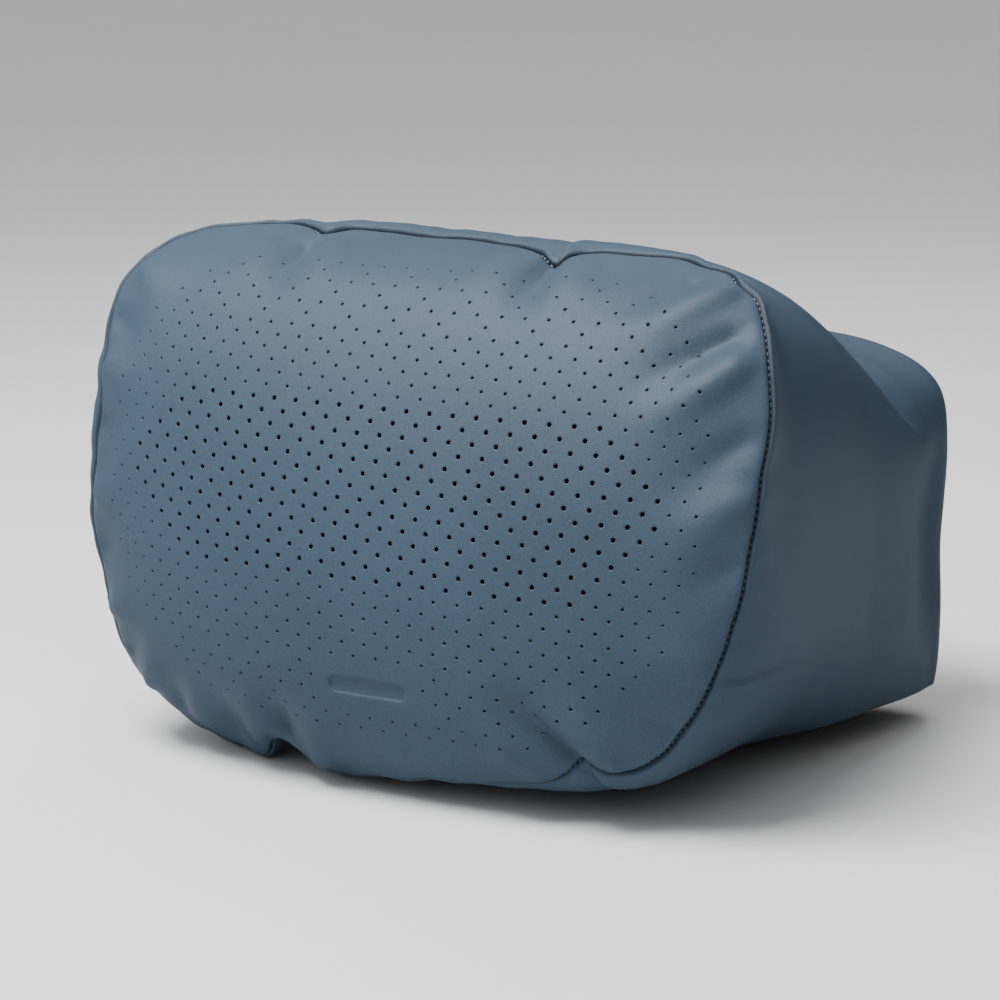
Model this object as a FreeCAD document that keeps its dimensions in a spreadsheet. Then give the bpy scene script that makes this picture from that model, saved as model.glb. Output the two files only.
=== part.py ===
import FreeCAD, Part
import math
import os
import Sketcher

# Headrest pillow with a slip-on hood.
# Frame: +X to the right, -Y to the front (towards the head), +Z up, millimetres.
# The origin is the middle of the bounding box's underside.

DIMENSIONS = [
    # overall shape
    ("half_width", 150.0, "half of the width at every station"),
    ("half_depth", 117.0, "half of the depth, front of the face to rear panel"),
    ("pillow_top", 212.0, "top edge of the face"),
    ("pillow_top_radius", 46.0, "upper corner of the face outline"),
    ("pillow_foot_radius", 76.0, "lower corner of the face outline"),
    ("divider_front", -13.0, "front of the wall between pillow and hood"),
    ("divider_thick", 2.0, "knitted wall between pillow and hood"),
    ("divider_top", 212.0, "top of the wrap above the divider"),
    ("divider_top_radius", 46.0, "upper corner at the divider"),
    ("divider_foot_radius", 42.0, "lower corner at the divider"),
    ("rear_top", 172.0, "top of the hood at the rear"),
    ("rear_top_radius", 52.0, "upper corner at the rear"),
    ("rear_foot_radius", 6.0, "lower corner at the rear"),
    ("hem_height", 12.0, "height of the hood's mouth above the base"),
    # the face: two tangent arcs seen from the side
    ("face_low_height", 64.0, "height of the foremost line of the face"),
    ("face_upper_radius", 176.3, "arc from the foremost line to the top"),
    ("face_lower_radius", 106.0, "arc from the foremost line to the base"),
    # layers behind the face, each measured from the outer surface
    ("skin", 1.2, "leatherette with its knitted backing"),
    ("gap", 0.3, "clearance between loose layers"),
    ("mesh_thick", 0.6, "breathable mesh behind the perforations"),
    ("wadding_thick", 5.0, "foam wadding behind the mesh"),
    ("case_thick", 0.6, "woven case of the fibre filling"),
    ("lining_thick", 1.6, "foam-backed lining of the hood"),
    ("facing_thick", 1.0, "turned-in facing of the mouth"),
    ("facing_deep", 22.0, "height of the facing above the hem"),
    # the zip in the underside
    ("zip_middle", -54.0, "middle of the zip, front to back"),
    ("zip_half_length", 76.0, "half of the tape's length"),
    ("tape_width", 12.0, "one tape"),
    ("tape_height", 7.8, "underside of the tapes above the base"),
    ("tape_thick", 0.6, "one tape"),
    ("coil_radius", 0.8, "one row of teeth"),
    ("coil_gap", 0.9, "from the zip's middle to a row of teeth"),
    ("strip_gap", 6.0, "from the zip's middle to the leatherette strips"),
    ("strip_rise", 24.0, "run of the strips that climbs to the tapes"),
    ("slider_length", 9.0, "along the zip"),
    ("slider_width", 8.0, "across the zip"),
    ("slider_plate", 1.1, "thickness of each plate"),
    ("slider_post", 0.6, "half of the wedge between the rows of teeth"),
    ("bridge_length", 6.0, "lug under the slider"),
    ("bridge_width", 1.8, "lug under the slider"),
    ("bridge_drop", 2.6, "depth of the lug"),
    ("pin_radius", 0.5, "cross bar of the pull tab"),
    ("tab_length", 24.0, "pull tab"),
    ("tab_width", 6.6, "pull tab"),
    ("tab_thick", 1.2, "pull tab"),
    ("tab_window", 5.0, "opening that clears the lug"),
    # blank care label on the hood's left wall
    ("label_width", 22.0, "front to back"),
    ("label_height", 38.0, "up the wall"),
    ("label_thick", 0.3, "woven satin"),
]

FRONT_STATION = -120.0
TOP_MARGIN = 6.0


def make_sheet(doc):
    sheet = doc.addObject("Spreadsheet::Sheet", "dims")
    for row, (alias, value, note) in enumerate(DIMENSIONS, start=1):
        sheet.set("A%d" % row, alias)
        sheet.set("B%d" % row, repr(value))
        sheet.set("C%d" % row, note)
        sheet.setAlias("B%d" % row, alias)
    doc.recompute()
    return sheet


def origin_plane(body, role):
    for feature in body.Origin.OriginFeatures:
        if feature.Role == role:
            return feature
    raise ValueError(role)


def new_sketch(body, name, role, offset="0"):
    """Add a sketch on one of the body's own origin planes, moved along its normal."""
    sketch = body.newObject("Sketcher::SketchObject", name)
    sketch.AttachmentSupport = [(origin_plane(body, role), "")]
    sketch.MapMode = "FlatFace"
    if offset != "0":
        sketch.setExpression("AttachmentOffset.Base.z", offset)
    return sketch


def bind(sketch, kind, places, value, formula):
    """Add a dimension to the sketch and bind it to the sheet."""
    index = sketch.addConstraint(Sketcher.Constraint(kind, *places, value))
    sketch.setExpression("Constraints[%d]" % index, formula)


def value_of(doc, formula):
    """Evaluate a sheet formula, for the first guess of a sketch's geometry."""
    return float(doc.dims.evalExpression(formula.replace("dims.", "")))


def rounded_outline(sketch, half, base, top, foot_radius, top_radius):
    """Draw a rectangle with rounded corners, symmetric about the vertical axis."""
    doc = sketch.Document
    w, b, t, rf, rt = [value_of(doc, f) for f in (half, base, top, foot_radius, top_radius)]
    corners = [(-w + rf, b + rf, rf, 180.0), (w - rf, b + rf, rf, 270.0),
               (w - rt, t - rt, rt, 0.0), (-w + rt, t - rt, rt, 90.0)]
    z_axis = FreeCAD.Vector(0, 0, 1)
    arcs = []
    for x, y, radius, start in corners:
        circle = Part.Circle(FreeCAD.Vector(x, y, 0), z_axis, radius)
        arc = Part.ArcOfCircle(circle, math.radians(start), math.radians(start + 90.0))
        arcs.append(sketch.addGeometry(arc))
    for first, second in zip(arcs, arcs[1:] + arcs[:1]):
        start = sketch.getPoint(first, 2)
        end = sketch.getPoint(second, 1)
        line = sketch.addGeometry(Part.LineSegment(start, end))
        sketch.addConstraint(Sketcher.Constraint("Tangent", first, 2, line, 1))
        sketch.addConstraint(Sketcher.Constraint("Tangent", line, 2, second, 1))
    foot, right, head, left = range(4, 8)
    sketch.addConstraint(Sketcher.Constraint("Horizontal", foot))
    sketch.addConstraint(Sketcher.Constraint("Horizontal", head))
    sketch.addConstraint(Sketcher.Constraint("Vertical", right))
    sketch.addConstraint(Sketcher.Constraint("Vertical", left))
    sketch.addConstraint(Sketcher.Constraint("Equal", arcs[0], arcs[1]))
    sketch.addConstraint(Sketcher.Constraint("Equal", arcs[2], arcs[3]))
    bind(sketch, "Radius", (arcs[0],), rf, foot_radius)
    bind(sketch, "Radius", (arcs[2],), rt, top_radius)
    bind(sketch, "DistanceX", (-1, 1, right, 1), w, half)
    bind(sketch, "DistanceX", (left, 1, -1, 1), w, half)
    bind(sketch, "DistanceY", (-1, 1, foot, 1), b, base)
    bind(sketch, "DistanceY", (-1, 1, head, 1), t, top)


STATIONS = {
    "pillow": ("dims.pillow_top", "dims.pillow_foot_radius", "dims.pillow_top_radius"),
    "divider": ("dims.divider_top", "dims.divider_foot_radius", "dims.divider_top_radius"),
    "rear": ("dims.rear_top", "dims.rear_foot_radius", "dims.rear_top_radius"),
}


def station_sketch(body, name, station, place, inset):
    """Draw the wrap's outline at a station, moved inwards by a formula."""
    top, foot_radius, top_radius = STATIONS[station]
    sketch = new_sketch(body, name, "XZ_Plane", "-(%s)" % place)
    rounded_outline(sketch, "dims.half_width - (%s)" % inset, inset, "%s - (%s)" % (top, inset),
                    "max(%s - (%s); 1.0)" % (foot_radius, inset), "%s - (%s)" % (top_radius, inset))
    return sketch


def loft(body, name, kind, sections):
    feature = body.newObject("PartDesign::" + kind, name)
    feature.Profile = sections[0]
    feature.Sections = sections[1:]
    feature.Ruled = True
    return feature


def polygon(sketch, points):
    """Draw a closed polygon whose corners are pairs of sheet formulas."""
    doc = sketch.Document
    numbers = [(value_of(doc, u), value_of(doc, v)) for u, v in points]
    count = len(points)
    lines = []
    for k in range(count):
        start = FreeCAD.Vector(*numbers[k], 0)
        end = FreeCAD.Vector(*numbers[(k + 1) % count], 0)
        lines.append(sketch.addGeometry(Part.LineSegment(start, end)))
    for k in range(count):
        sketch.addConstraint(Sketcher.Constraint("Coincident", lines[k], 2, lines[(k + 1) % count], 1))
        for axis, (formula, number) in zip(("DistanceX", "DistanceY"), zip(points[k], numbers[k])):
            if abs(number) < 1e-9:
                on_axis = -2 if axis == "DistanceX" else -1
                sketch.addConstraint(Sketcher.Constraint("PointOnObject", lines[k], 1, on_axis))
            else:
                bind(sketch, axis, (-1, 1, lines[k], 1), number, formula)


def rectangle(sketch, low_u, high_u, low_v, high_v):
    polygon(sketch, [(low_u, low_v), (high_u, low_v), (high_u, high_v), (low_u, high_v)])


def extrude(body, name, kind, sketch, length, symmetric=False, reverse=False):
    """Pad or pocket a sketch by a sheet formula."""
    feature = body.newObject("PartDesign::" + kind, name)
    feature.Profile = sketch
    feature.Length = value_of(body.Document, length)
    feature.setExpression("Length", length)
    if symmetric:
        feature.SideType = "Symmetric"
    feature.Reversed = reverse
    return feature


def new_body(doc, label):
    return doc.addObject("PartDesign::Body", label)


def face_arcs(sketch, depth):
    """Draw the face's two arcs, a given depth behind its surface; return their outer ends."""
    doc = sketch.Document
    fore = -value_of(doc, "dims.half_depth")
    level = value_of(doc, "dims.face_low_height")
    inward = value_of(doc, depth)
    top = value_of(doc, "dims.pillow_top") + TOP_MARGIN
    arcs = []
    for alias, limit in (("face_upper_radius", top), ("face_lower_radius", -TOP_MARGIN)):
        nominal = value_of(doc, "dims." + alias)
        centre = FreeCAD.Vector(fore + nominal, level, 0)
        radius = nominal - inward
        rise = math.asin((limit - level) / radius)
        angles = sorted((math.pi, math.pi - rise))
        circle = Part.Circle(centre, FreeCAD.Vector(0, 0, 1), radius)
        arc = sketch.addGeometry(Part.ArcOfCircle(circle, *angles))
        bind(sketch, "Radius", (arc,), radius, "dims.%s - (%s)" % (alias, depth))
        bind(sketch, "DistanceY", (-1, 1, arc, 3), level, "dims.face_low_height")
        arcs.append(arc)
    upper, lower = arcs
    # the upper arc starts at its top and the lower arc ends at its foot; they meet at the foremost line
    centre_x = fore + value_of(doc, "dims.face_upper_radius")
    bind(sketch, "DistanceX", (-1, 1, upper, 3), centre_x, "dims.face_upper_radius - dims.half_depth")
    bind(sketch, "DistanceY", (-1, 1, upper, 2), level, "dims.face_low_height")
    sketch.addConstraint(Sketcher.Constraint("Coincident", upper, 2, lower, 1))
    bind(sketch, "DistanceY", (-1, 1, upper, 1), top, "dims.pillow_top + %s" % TOP_MARGIN)
    bind(sketch, "DistanceY", (lower, 2, -1, 1), TOP_MARGIN, "%s" % TOP_MARGIN)
    return [(upper, 1), (lower, 2)]


def join_points(sketch, first, second):
    start = sketch.getPoint(*first)
    end = sketch.getPoint(*second)
    line = sketch.addGeometry(Part.LineSegment(start, end))
    sketch.addConstraint(Sketcher.Constraint("Coincident", line, 1, *first))
    sketch.addConstraint(Sketcher.Constraint("Coincident", line, 2, *second))
    return line


def back_to(sketch, ends, place, number):
    """Close the two arcs with a straight upright line at a given place."""
    upper_end, lower_end = ends
    upper = sketch.getPoint(*upper_end)
    lower = sketch.getPoint(*lower_end)
    corners = (upper, FreeCAD.Vector(number, upper.y, 0), FreeCAD.Vector(number, lower.y, 0), lower)
    lines = [sketch.addGeometry(Part.LineSegment(a, b)) for a, b in zip(corners, corners[1:])]
    sketch.addConstraint(Sketcher.Constraint("Coincident", lines[0], 1, *upper_end))
    sketch.addConstraint(Sketcher.Constraint("Coincident", lines[0], 2, lines[1], 1))
    sketch.addConstraint(Sketcher.Constraint("Coincident", lines[1], 2, lines[2], 1))
    sketch.addConstraint(Sketcher.Constraint("Coincident", lines[2], 2, *lower_end))
    sketch.addConstraint(Sketcher.Constraint("Horizontal", lines[0]))
    sketch.addConstraint(Sketcher.Constraint("Horizontal", lines[2]))
    sketch.addConstraint(Sketcher.Constraint("Vertical", lines[1]))
    bind(sketch, "DistanceX", (-1, 1, lines[1], 1), number, place)


def trim_to_outline(body, inset):
    """Cut away whatever lies outside the pillow's outline."""
    sketch = new_sketch(body, "outside", "XZ_Plane")
    rounded_outline(sketch, "dims.half_width - (%s)" % inset, inset, "dims.pillow_top - (%s)" % inset,
                    "dims.pillow_foot_radius - (%s)" % inset, "dims.pillow_top_radius - (%s)" % inset)
    rectangle(sketch, "-dims.half_width - 20", "dims.half_width + 20", "-20", "dims.pillow_top + 20")
    extrude(body, "trim", "Pocket", sketch, "dims.half_depth * 3", symmetric=True)


def face_layer(doc, label, near, far, inset):
    """Make one sheet of the face: two parallel pairs of arcs, trimmed to the outline."""
    body = new_body(doc, label)
    sketch = new_sketch(body, "section", "YZ_Plane")
    outer = face_arcs(sketch, near)
    inner = face_arcs(sketch, far)
    join_points(sketch, outer[0], inner[0])
    join_points(sketch, outer[1], inner[1])
    extrude(body, "sheet", "Pad", sketch, "dims.half_width * 2 + 10", symmetric=True)
    trim_to_outline(body, inset)
    return body


CASE_FRONT = "dims.skin + dims.mesh_thick + dims.wadding_thick + dims.gap * 3"
CASE_BACK = "dims.divider_front - dims.gap"
CASE_FLOOR = "dims.tape_height + dims.tape_thick + 5"


def pillow_solid(doc, label, extra):
    """Make a solid that fills the pillow, moved inwards by an extra amount."""
    body = new_body(doc, label)
    depth = "%s + %s" % (CASE_FRONT, extra)
    place = "%s - (%s)" % (CASE_BACK, extra)
    sketch = new_sketch(body, "section", "YZ_Plane")
    back_to(sketch, face_arcs(sketch, depth), place, value_of(doc, place))
    extrude(body, "block", "Pad", sketch, "dims.half_width * 2 + 10", symmetric=True)
    trim_to_outline(body, "dims.skin + dims.gap * 2 + 5 + %s" % extra)
    floor = new_sketch(body, "floor", "YZ_Plane")
    rectangle(floor, "-dims.half_depth", "0", "-20", "%s + %s" % (CASE_FLOOR, extra))
    extrude(body, "flatten", "Pocket", floor, "dims.half_width * 2 + 20", symmetric=True)
    return body


def make_pillow_inside(doc):
    """Make the woven case as a closed shell, and the fibre filling inside it."""
    outer = pillow_solid(doc, "case_outside", "0")
    inner = pillow_solid(doc, "case_inside", "dims.case_thick")
    case = doc.addObject("Part::Cut", "inner_case")
    case.Base = outer
    case.Tool = inner
    core = pillow_solid(doc, "fibre_core", "dims.case_thick + dims.gap")
    return [case, core]


def cut_mouth(body, height):
    """Open the hood from below, up to a given height."""
    sketch = new_sketch(body, "mouth", "YZ_Plane")
    rectangle(sketch, "dims.divider_front", "dims.half_depth + 20", "-20", height)
    extrude(body, "open_mouth", "Pocket", sketch, "dims.half_width * 2 + 40", symmetric=True)


def base_plan(sketch, inset, rear):
    """Draw the flat of the underside: it widens as the lower corners tighten towards the rear."""
    near = "dims.half_width - dims.pillow_foot_radius - (%s)" % inset
    far = "dims.half_width - dims.divider_foot_radius - (%s)" % inset
    right = [(near, "%s" % FRONT_STATION), (far, "dims.divider_front"), (far, rear)]
    left = [("-(%s)" % across, along) for across, along in reversed(right)]
    polygon(sketch, right + left)


def make_wrap(doc):
    """Make the strip that runs over both sides and the top, from the face to the rear."""
    body = new_body(doc, "side_wrap")
    front = "%s" % FRONT_STATION
    outer = [station_sketch(body, "outer_front", "pillow", front, "0"),
             station_sketch(body, "outer_divider", "divider", "dims.divider_front", "0"),
             station_sketch(body, "outer_rear", "rear", "dims.half_depth", "0")]
    loft(body, "outside", "AdditiveLoft", outer)
    inner = [station_sketch(body, "inner_front", "pillow", front, "dims.skin"),
             station_sketch(body, "inner_divider", "divider", "dims.divider_front", "dims.skin"),
             station_sketch(body, "inner_rear", "rear", "dims.half_depth + 0.01", "dims.skin")]
    loft(body, "hollow", "SubtractiveLoft", inner)
    waste = new_sketch(body, "front_waste", "YZ_Plane")
    limit = "-dims.half_depth - 20"
    back_to(waste, face_arcs(waste, "dims.skin + dims.gap"), limit, value_of(doc, limit))
    extrude(body, "cut_front", "Pocket", waste, "dims.half_width * 2 + 40", symmetric=True)
    under = new_sketch(body, "underside", "XY_Plane")
    base_plan(under, "0", "dims.divider_front + 10")
    extrude(body, "open_base", "Pocket", under, "dims.skin * 3", symmetric=True)
    cut_mouth(body, "dims.hem_height")
    return body


def make_rear_panel(doc):
    body = new_body(doc, "rear_panel")
    inset = "dims.skin + dims.gap"
    sketch = station_sketch(body, "outline", "rear", "dims.half_depth", inset)
    extrude(body, "panel", "Pad", sketch, "dims.skin")
    cut_mouth(body, "dims.hem_height")
    return body


def make_divider(doc):
    """Make the wall that closes the pillow's back and is the hood's front wall."""
    body = new_body(doc, "divider_panel")
    inset = "dims.skin + dims.gap * 3"
    place = "dims.divider_front + dims.divider_thick"
    sketch = station_sketch(body, "outline", "divider", place, inset)
    extrude(body, "panel", "Pad", sketch, "dims.divider_thick")
    return body


LINING_INSET = "dims.skin + dims.gap"
LINING_REAR = "dims.half_depth - dims.skin - dims.gap * 2"
POCKET_FRONT = "dims.divider_front + dims.divider_thick + dims.gap"


def make_lining(doc):
    """Make the hood's lining: sides, top and rear, open at the front and below."""
    body = new_body(doc, "pocket_lining")
    deep = "%s + dims.lining_thick" % LINING_INSET
    loft(body, "outside", "AdditiveLoft",
         [station_sketch(body, "outer_front", "divider", POCKET_FRONT, LINING_INSET + " + dims.gap * 2"),
          station_sketch(body, "outer_rear", "rear", LINING_REAR, LINING_INSET)])
    loft(body, "hollow", "SubtractiveLoft",
         [station_sketch(body, "inner_front", "divider", POCKET_FRONT + " - 0.01",
                         deep + " + dims.gap * 2"),
          station_sketch(body, "inner_rear", "rear", LINING_REAR + " - dims.lining_thick", deep)])
    cut_mouth(body, "dims.hem_height + dims.gap")
    return body


def make_facing(doc):
    """Make the band of leatherette turned up inside the mouth."""
    body = new_body(doc, "hem_facing")
    inset = "%s + dims.lining_thick + dims.gap * 3" % LINING_INSET
    deep = "%s + dims.facing_thick" % inset
    rear = "%s - dims.lining_thick - dims.gap" % LINING_REAR
    loft(body, "outside", "AdditiveLoft",
         [station_sketch(body, "outer_front", "divider", POCKET_FRONT, inset),
          station_sketch(body, "outer_rear", "rear", rear, inset)])
    loft(body, "hollow", "SubtractiveLoft",
         [station_sketch(body, "inner_front", "divider", POCKET_FRONT + " - 0.01", deep),
          station_sketch(body, "inner_rear", "rear", rear + " - dims.facing_thick", deep)])
    cut_mouth(body, "dims.hem_height + dims.gap")
    above = new_sketch(body, "above", "YZ_Plane")
    rectangle(above, "dims.divider_front", "dims.half_depth + 20", "dims.hem_height + dims.facing_deep",
              "dims.divider_top + 20")
    extrude(body, "cut_above", "Pocket", above, "dims.half_width * 2 + 40", symmetric=True)
    return body


def make_base_strip(doc, label, side, far_edge):
    """Make one strip of the underside; it climbs to the zip's tape at its inner edge."""
    body = new_body(doc, label)
    sketch = new_sketch(body, "section", "YZ_Plane")
    inner = "dims.zip_middle + (%d) * dims.strip_gap" % side
    climb = "dims.zip_middle + (%d) * dims.strip_rise" % side
    polygon(sketch, [(far_edge, "0"), (climb, "0"), (inner, "dims.tape_height - dims.skin"),
                     (inner, "dims.tape_height"), (climb, "dims.skin"), (far_edge, "dims.skin")])
    extrude(body, "strip", "Pad", sketch, "dims.half_width * 2", symmetric=True)
    plan = new_sketch(body, "plan", "XY_Plane")
    base_plan(plan, "dims.gap", "dims.divider_front + 5")
    rectangle(plan, "-dims.half_width - 20", "dims.half_width + 20", "-dims.half_depth - 20", "20")
    extrude(body, "trim", "Pocket", plan, "dims.tape_height * 4", symmetric=True)
    return body


def make_tape(doc, label, side):
    body = new_body(doc, label)
    sketch = new_sketch(body, "section", "YZ_Plane")
    inner = "dims.zip_middle + (%d) * dims.coil_gap" % side
    outer = "dims.zip_middle + (%d) * (dims.coil_gap + dims.tape_width)" % side
    rectangle(sketch, min(inner, outer, key=lambda f: value_of(doc, f)),
              max(inner, outer, key=lambda f: value_of(doc, f)),
              "dims.tape_height", "dims.tape_height + dims.tape_thick")
    extrude(body, "tape", "Pad", sketch, "dims.zip_half_length * 2", symmetric=True)
    return body


def make_coil(doc, label, side):
    """Make one row of teeth as the rod that its coil fills."""
    rod = doc.addObject("Part::Cylinder", label)
    rod.setExpression("Radius", "dims.coil_radius")
    rod.setExpression("Height", "dims.zip_half_length * 2 - 6")
    turn = FreeCAD.Rotation(FreeCAD.Vector(0, 1, 0), 90)
    rod.Placement = FreeCAD.Placement(FreeCAD.Vector(0, 0, 0), turn)
    rod.setExpression("Placement.Base.x", "-(dims.zip_half_length - 3)")
    rod.setExpression("Placement.Base.y",
                      "dims.zip_middle + (%d) * (dims.coil_gap + dims.coil_radius)" % side)
    rod.setExpression("Placement.Base.z", "dims.tape_height - dims.coil_radius")
    return rod


def make_stop(doc, label, side):
    """Make the metal clip that ends the rows of teeth."""
    body = new_body(doc, label)
    sketch = new_sketch(body, "section", "YZ_Plane")
    across = "(dims.coil_gap + dims.coil_radius * 2 + 0.6)"
    low = "dims.tape_height - dims.coil_radius * 2 - 0.5"
    rectangle(sketch, "dims.zip_middle - %s" % across, "dims.zip_middle + %s" % across, low,
              "dims.tape_height")
    extrude(body, "clip", "Pad", sketch, "2.6", symmetric=True)
    body.setExpression("Placement.Base.x", "(%d) * (dims.zip_half_length - 1.6)" % side)
    return body


SLIDER_X = "(dims.zip_half_length - dims.slider_length / 2 - 4)"
SLIDER_LOW = "(dims.tape_height - dims.coil_radius * 2 - 0.3 - dims.slider_plate)"
SLIDER_HIGH = "(dims.tape_height + dims.tape_thick + 0.3)"
PIN_DROP = "(dims.bridge_drop / 2 + 0.1)"


def make_slider(doc):
    """Make the slider: two plates, the wedge between them and the lug for the tab."""
    body = new_body(doc, "zip_slider")
    half = "dims.slider_width / 2"
    side = new_sketch(body, "lower_plate", "YZ_Plane")
    rectangle(side, "dims.zip_middle - %s" % half, "dims.zip_middle + %s" % half, SLIDER_LOW,
              SLIDER_LOW + " + dims.slider_plate")
    extrude(body, "lower", "Pad", side, "dims.slider_length", symmetric=True)
    wedge = new_sketch(body, "wedge_section", "YZ_Plane")
    rectangle(wedge, "dims.zip_middle - dims.slider_post", "dims.zip_middle + dims.slider_post",
              SLIDER_LOW + " + dims.slider_plate", SLIDER_HIGH)
    extrude(body, "wedge", "Pad", wedge, "dims.slider_length / 2", symmetric=True)
    upper = new_sketch(body, "upper_plate", "YZ_Plane")
    rectangle(upper, "dims.zip_middle - %s" % half, "dims.zip_middle + %s" % half, SLIDER_HIGH,
              SLIDER_HIGH + " + dims.slider_plate")
    extrude(body, "top", "Pad", upper, "dims.slider_length", symmetric=True)
    lug = new_sketch(body, "lug_section", "XZ_Plane", "-dims.zip_middle")
    lug_low = SLIDER_LOW + " - dims.bridge_drop"
    rectangle(lug, "-dims.bridge_length / 2", "dims.bridge_length / 2", lug_low, SLIDER_LOW)
    extrude(body, "bridge", "Pad", lug, "dims.bridge_width", symmetric=True)
    hole = new_sketch(body, "pin_hole", "XZ_Plane", "-dims.zip_middle")
    height = SLIDER_LOW + " - " + PIN_DROP
    centre = FreeCAD.Vector(0, value_of(doc, height), 0)
    radius = value_of(doc, "dims.pin_radius") + 0.1
    circle = hole.addGeometry(Part.Circle(centre, FreeCAD.Vector(0, 0, 1), radius))
    hole.addConstraint(Sketcher.Constraint("PointOnObject", circle, 3, -2))
    bind(hole, "DistanceY", (-1, 1, circle, 3), centre.y, height)
    bind(hole, "Radius", (circle,), radius, "dims.pin_radius + 0.1")
    extrude(body, "drill", "Pocket", hole, "dims.bridge_width + 2", symmetric=True)
    body.setExpression("Placement.Base.x", SLIDER_X)
    return body


def make_pull_tab(doc):
    """Make the tab: a plate with a window round the lug and a round cross bar through it."""
    body = new_body(doc, "zip_pull_tab")
    half = "dims.tab_width / 2"
    height = SLIDER_LOW + " - " + PIN_DROP
    plate = new_sketch(body, "plate", "XY_Plane", height)
    rectangle(plate, "-dims.tab_length", "0", "dims.zip_middle - %s" % half,
              "dims.zip_middle + %s" % half)
    extrude(body, "blank", "Pad", plate, "dims.tab_thick", symmetric=True)
    window = new_sketch(body, "window", "XY_Plane", height)
    clear = "(dims.bridge_width / 2 + 0.5)"
    rectangle(window, "-dims.tab_window", "1", "dims.zip_middle - %s" % clear,
              "dims.zip_middle + %s" % clear)
    extrude(body, "clear_lug", "Pocket", window, "dims.tab_thick * 2", symmetric=True)
    bar = new_sketch(body, "bar_section", "XZ_Plane", "-dims.zip_middle")
    centre = FreeCAD.Vector(-0.6, value_of(doc, height), 0)
    circle = bar.addGeometry(Part.Circle(centre, FreeCAD.Vector(0, 0, 1), 0.5))
    bind(bar, "DistanceX", (circle, 3, -1, 1), 0.6, "dims.tab_thick / 2")
    bind(bar, "DistanceY", (-1, 1, circle, 3), centre.y, height)
    bind(bar, "Radius", (circle,), 0.5, "dims.pin_radius")
    extrude(body, "cross_bar", "Pad", bar, "dims.tab_width", symmetric=True)
    body.setExpression("Placement.Base.x", SLIDER_X + " + dims.tab_thick / 2")
    return body


def make_label(doc):
    label = doc.addObject("Part::Box", "care_label")
    label.setExpression("Length", "dims.label_thick")
    label.setExpression("Width", "dims.label_width")
    label.setExpression("Height", "dims.label_height")
    inset = "dims.skin + dims.gap * 4 + dims.lining_thick"
    label.setExpression("Placement.Base.x", "-dims.half_width + %s" % inset)
    label.setExpression("Placement.Base.y", "dims.half_depth - dims.label_width - 8")
    label.setExpression("Placement.Base.z", "dims.hem_height + dims.facing_deep + 34")
    return label


def build(doc):
    make_sheet(doc)
    mesh_near = "dims.skin + dims.gap"
    mesh_far = "dims.skin + dims.gap + dims.mesh_thick"
    wadding_near = "dims.skin + dims.gap * 2 + dims.mesh_thick"
    wadding_far = wadding_near + " + dims.wadding_thick"
    inset = "dims.skin + dims.gap * 2"
    nodes = [
        face_layer(doc, "front_panel", "0", "dims.skin", "0"),
        face_layer(doc, "front_mesh", mesh_near, mesh_far, inset),
        face_layer(doc, "front_wadding", wadding_near, wadding_far, inset),
    ]
    nodes += make_pillow_inside(doc)
    nodes += [make_wrap(doc), make_rear_panel(doc), make_divider(doc), make_lining(doc), make_facing(doc)]
    nodes += [
        make_base_strip(doc, "base_strip_front", -1, "-dims.half_depth + 24.5"),
        make_base_strip(doc, "base_strip_rear", 1, "dims.divider_front - dims.gap"),
    ]
    for side, word in ((-1, "front"), (1, "rear")):
        nodes.append(make_tape(doc, "zip_tape_" + word, side))
        nodes.append(make_coil(doc, "zip_coil_" + word, side))
    nodes += [make_stop(doc, "zip_closed_stop", 1), make_stop(doc, "zip_open_stop", -1)]
    nodes += [make_slider(doc), make_pull_tab(doc), make_label(doc)]
    return nodes


def check(doc, nodes):
    for item in doc.Objects:
        if "Invalid" in item.State or "Error" in item.State:
            raise RuntimeError("%s failed: %s" % (item.Name, item.getStatusString()))
    for node in nodes:
        if node.Shape.isNull() or not node.Shape.isValid():
            raise RuntimeError("%s has a bad shape" % node.Label)


def main():
    doc = FreeCAD.newDocument("headrest_pillow")
    nodes = build(doc)
    doc.recompute()
    check(doc, nodes)
    os.makedirs("parts", exist_ok=True)
    for node in nodes:
        box = node.Shape.optimalBoundingBox()
        print("%-18s %8.1f cm3  x %6.1f %6.1f  y %6.1f %6.1f  z %6.1f %6.1f  solids %d" % (
            node.Label, node.Shape.Volume / 1000.0, box.XMin, box.XMax, box.YMin, box.YMax,
            box.ZMin, box.ZMax, len(node.Shape.Solids)))
        node.Shape.exportStep(os.path.join("parts", node.Label + ".step"))


main()
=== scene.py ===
import math
import bpy
import numpy as np
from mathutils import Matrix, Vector, noise
from mathutils.geometry import delaunay_2d_cdt


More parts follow.
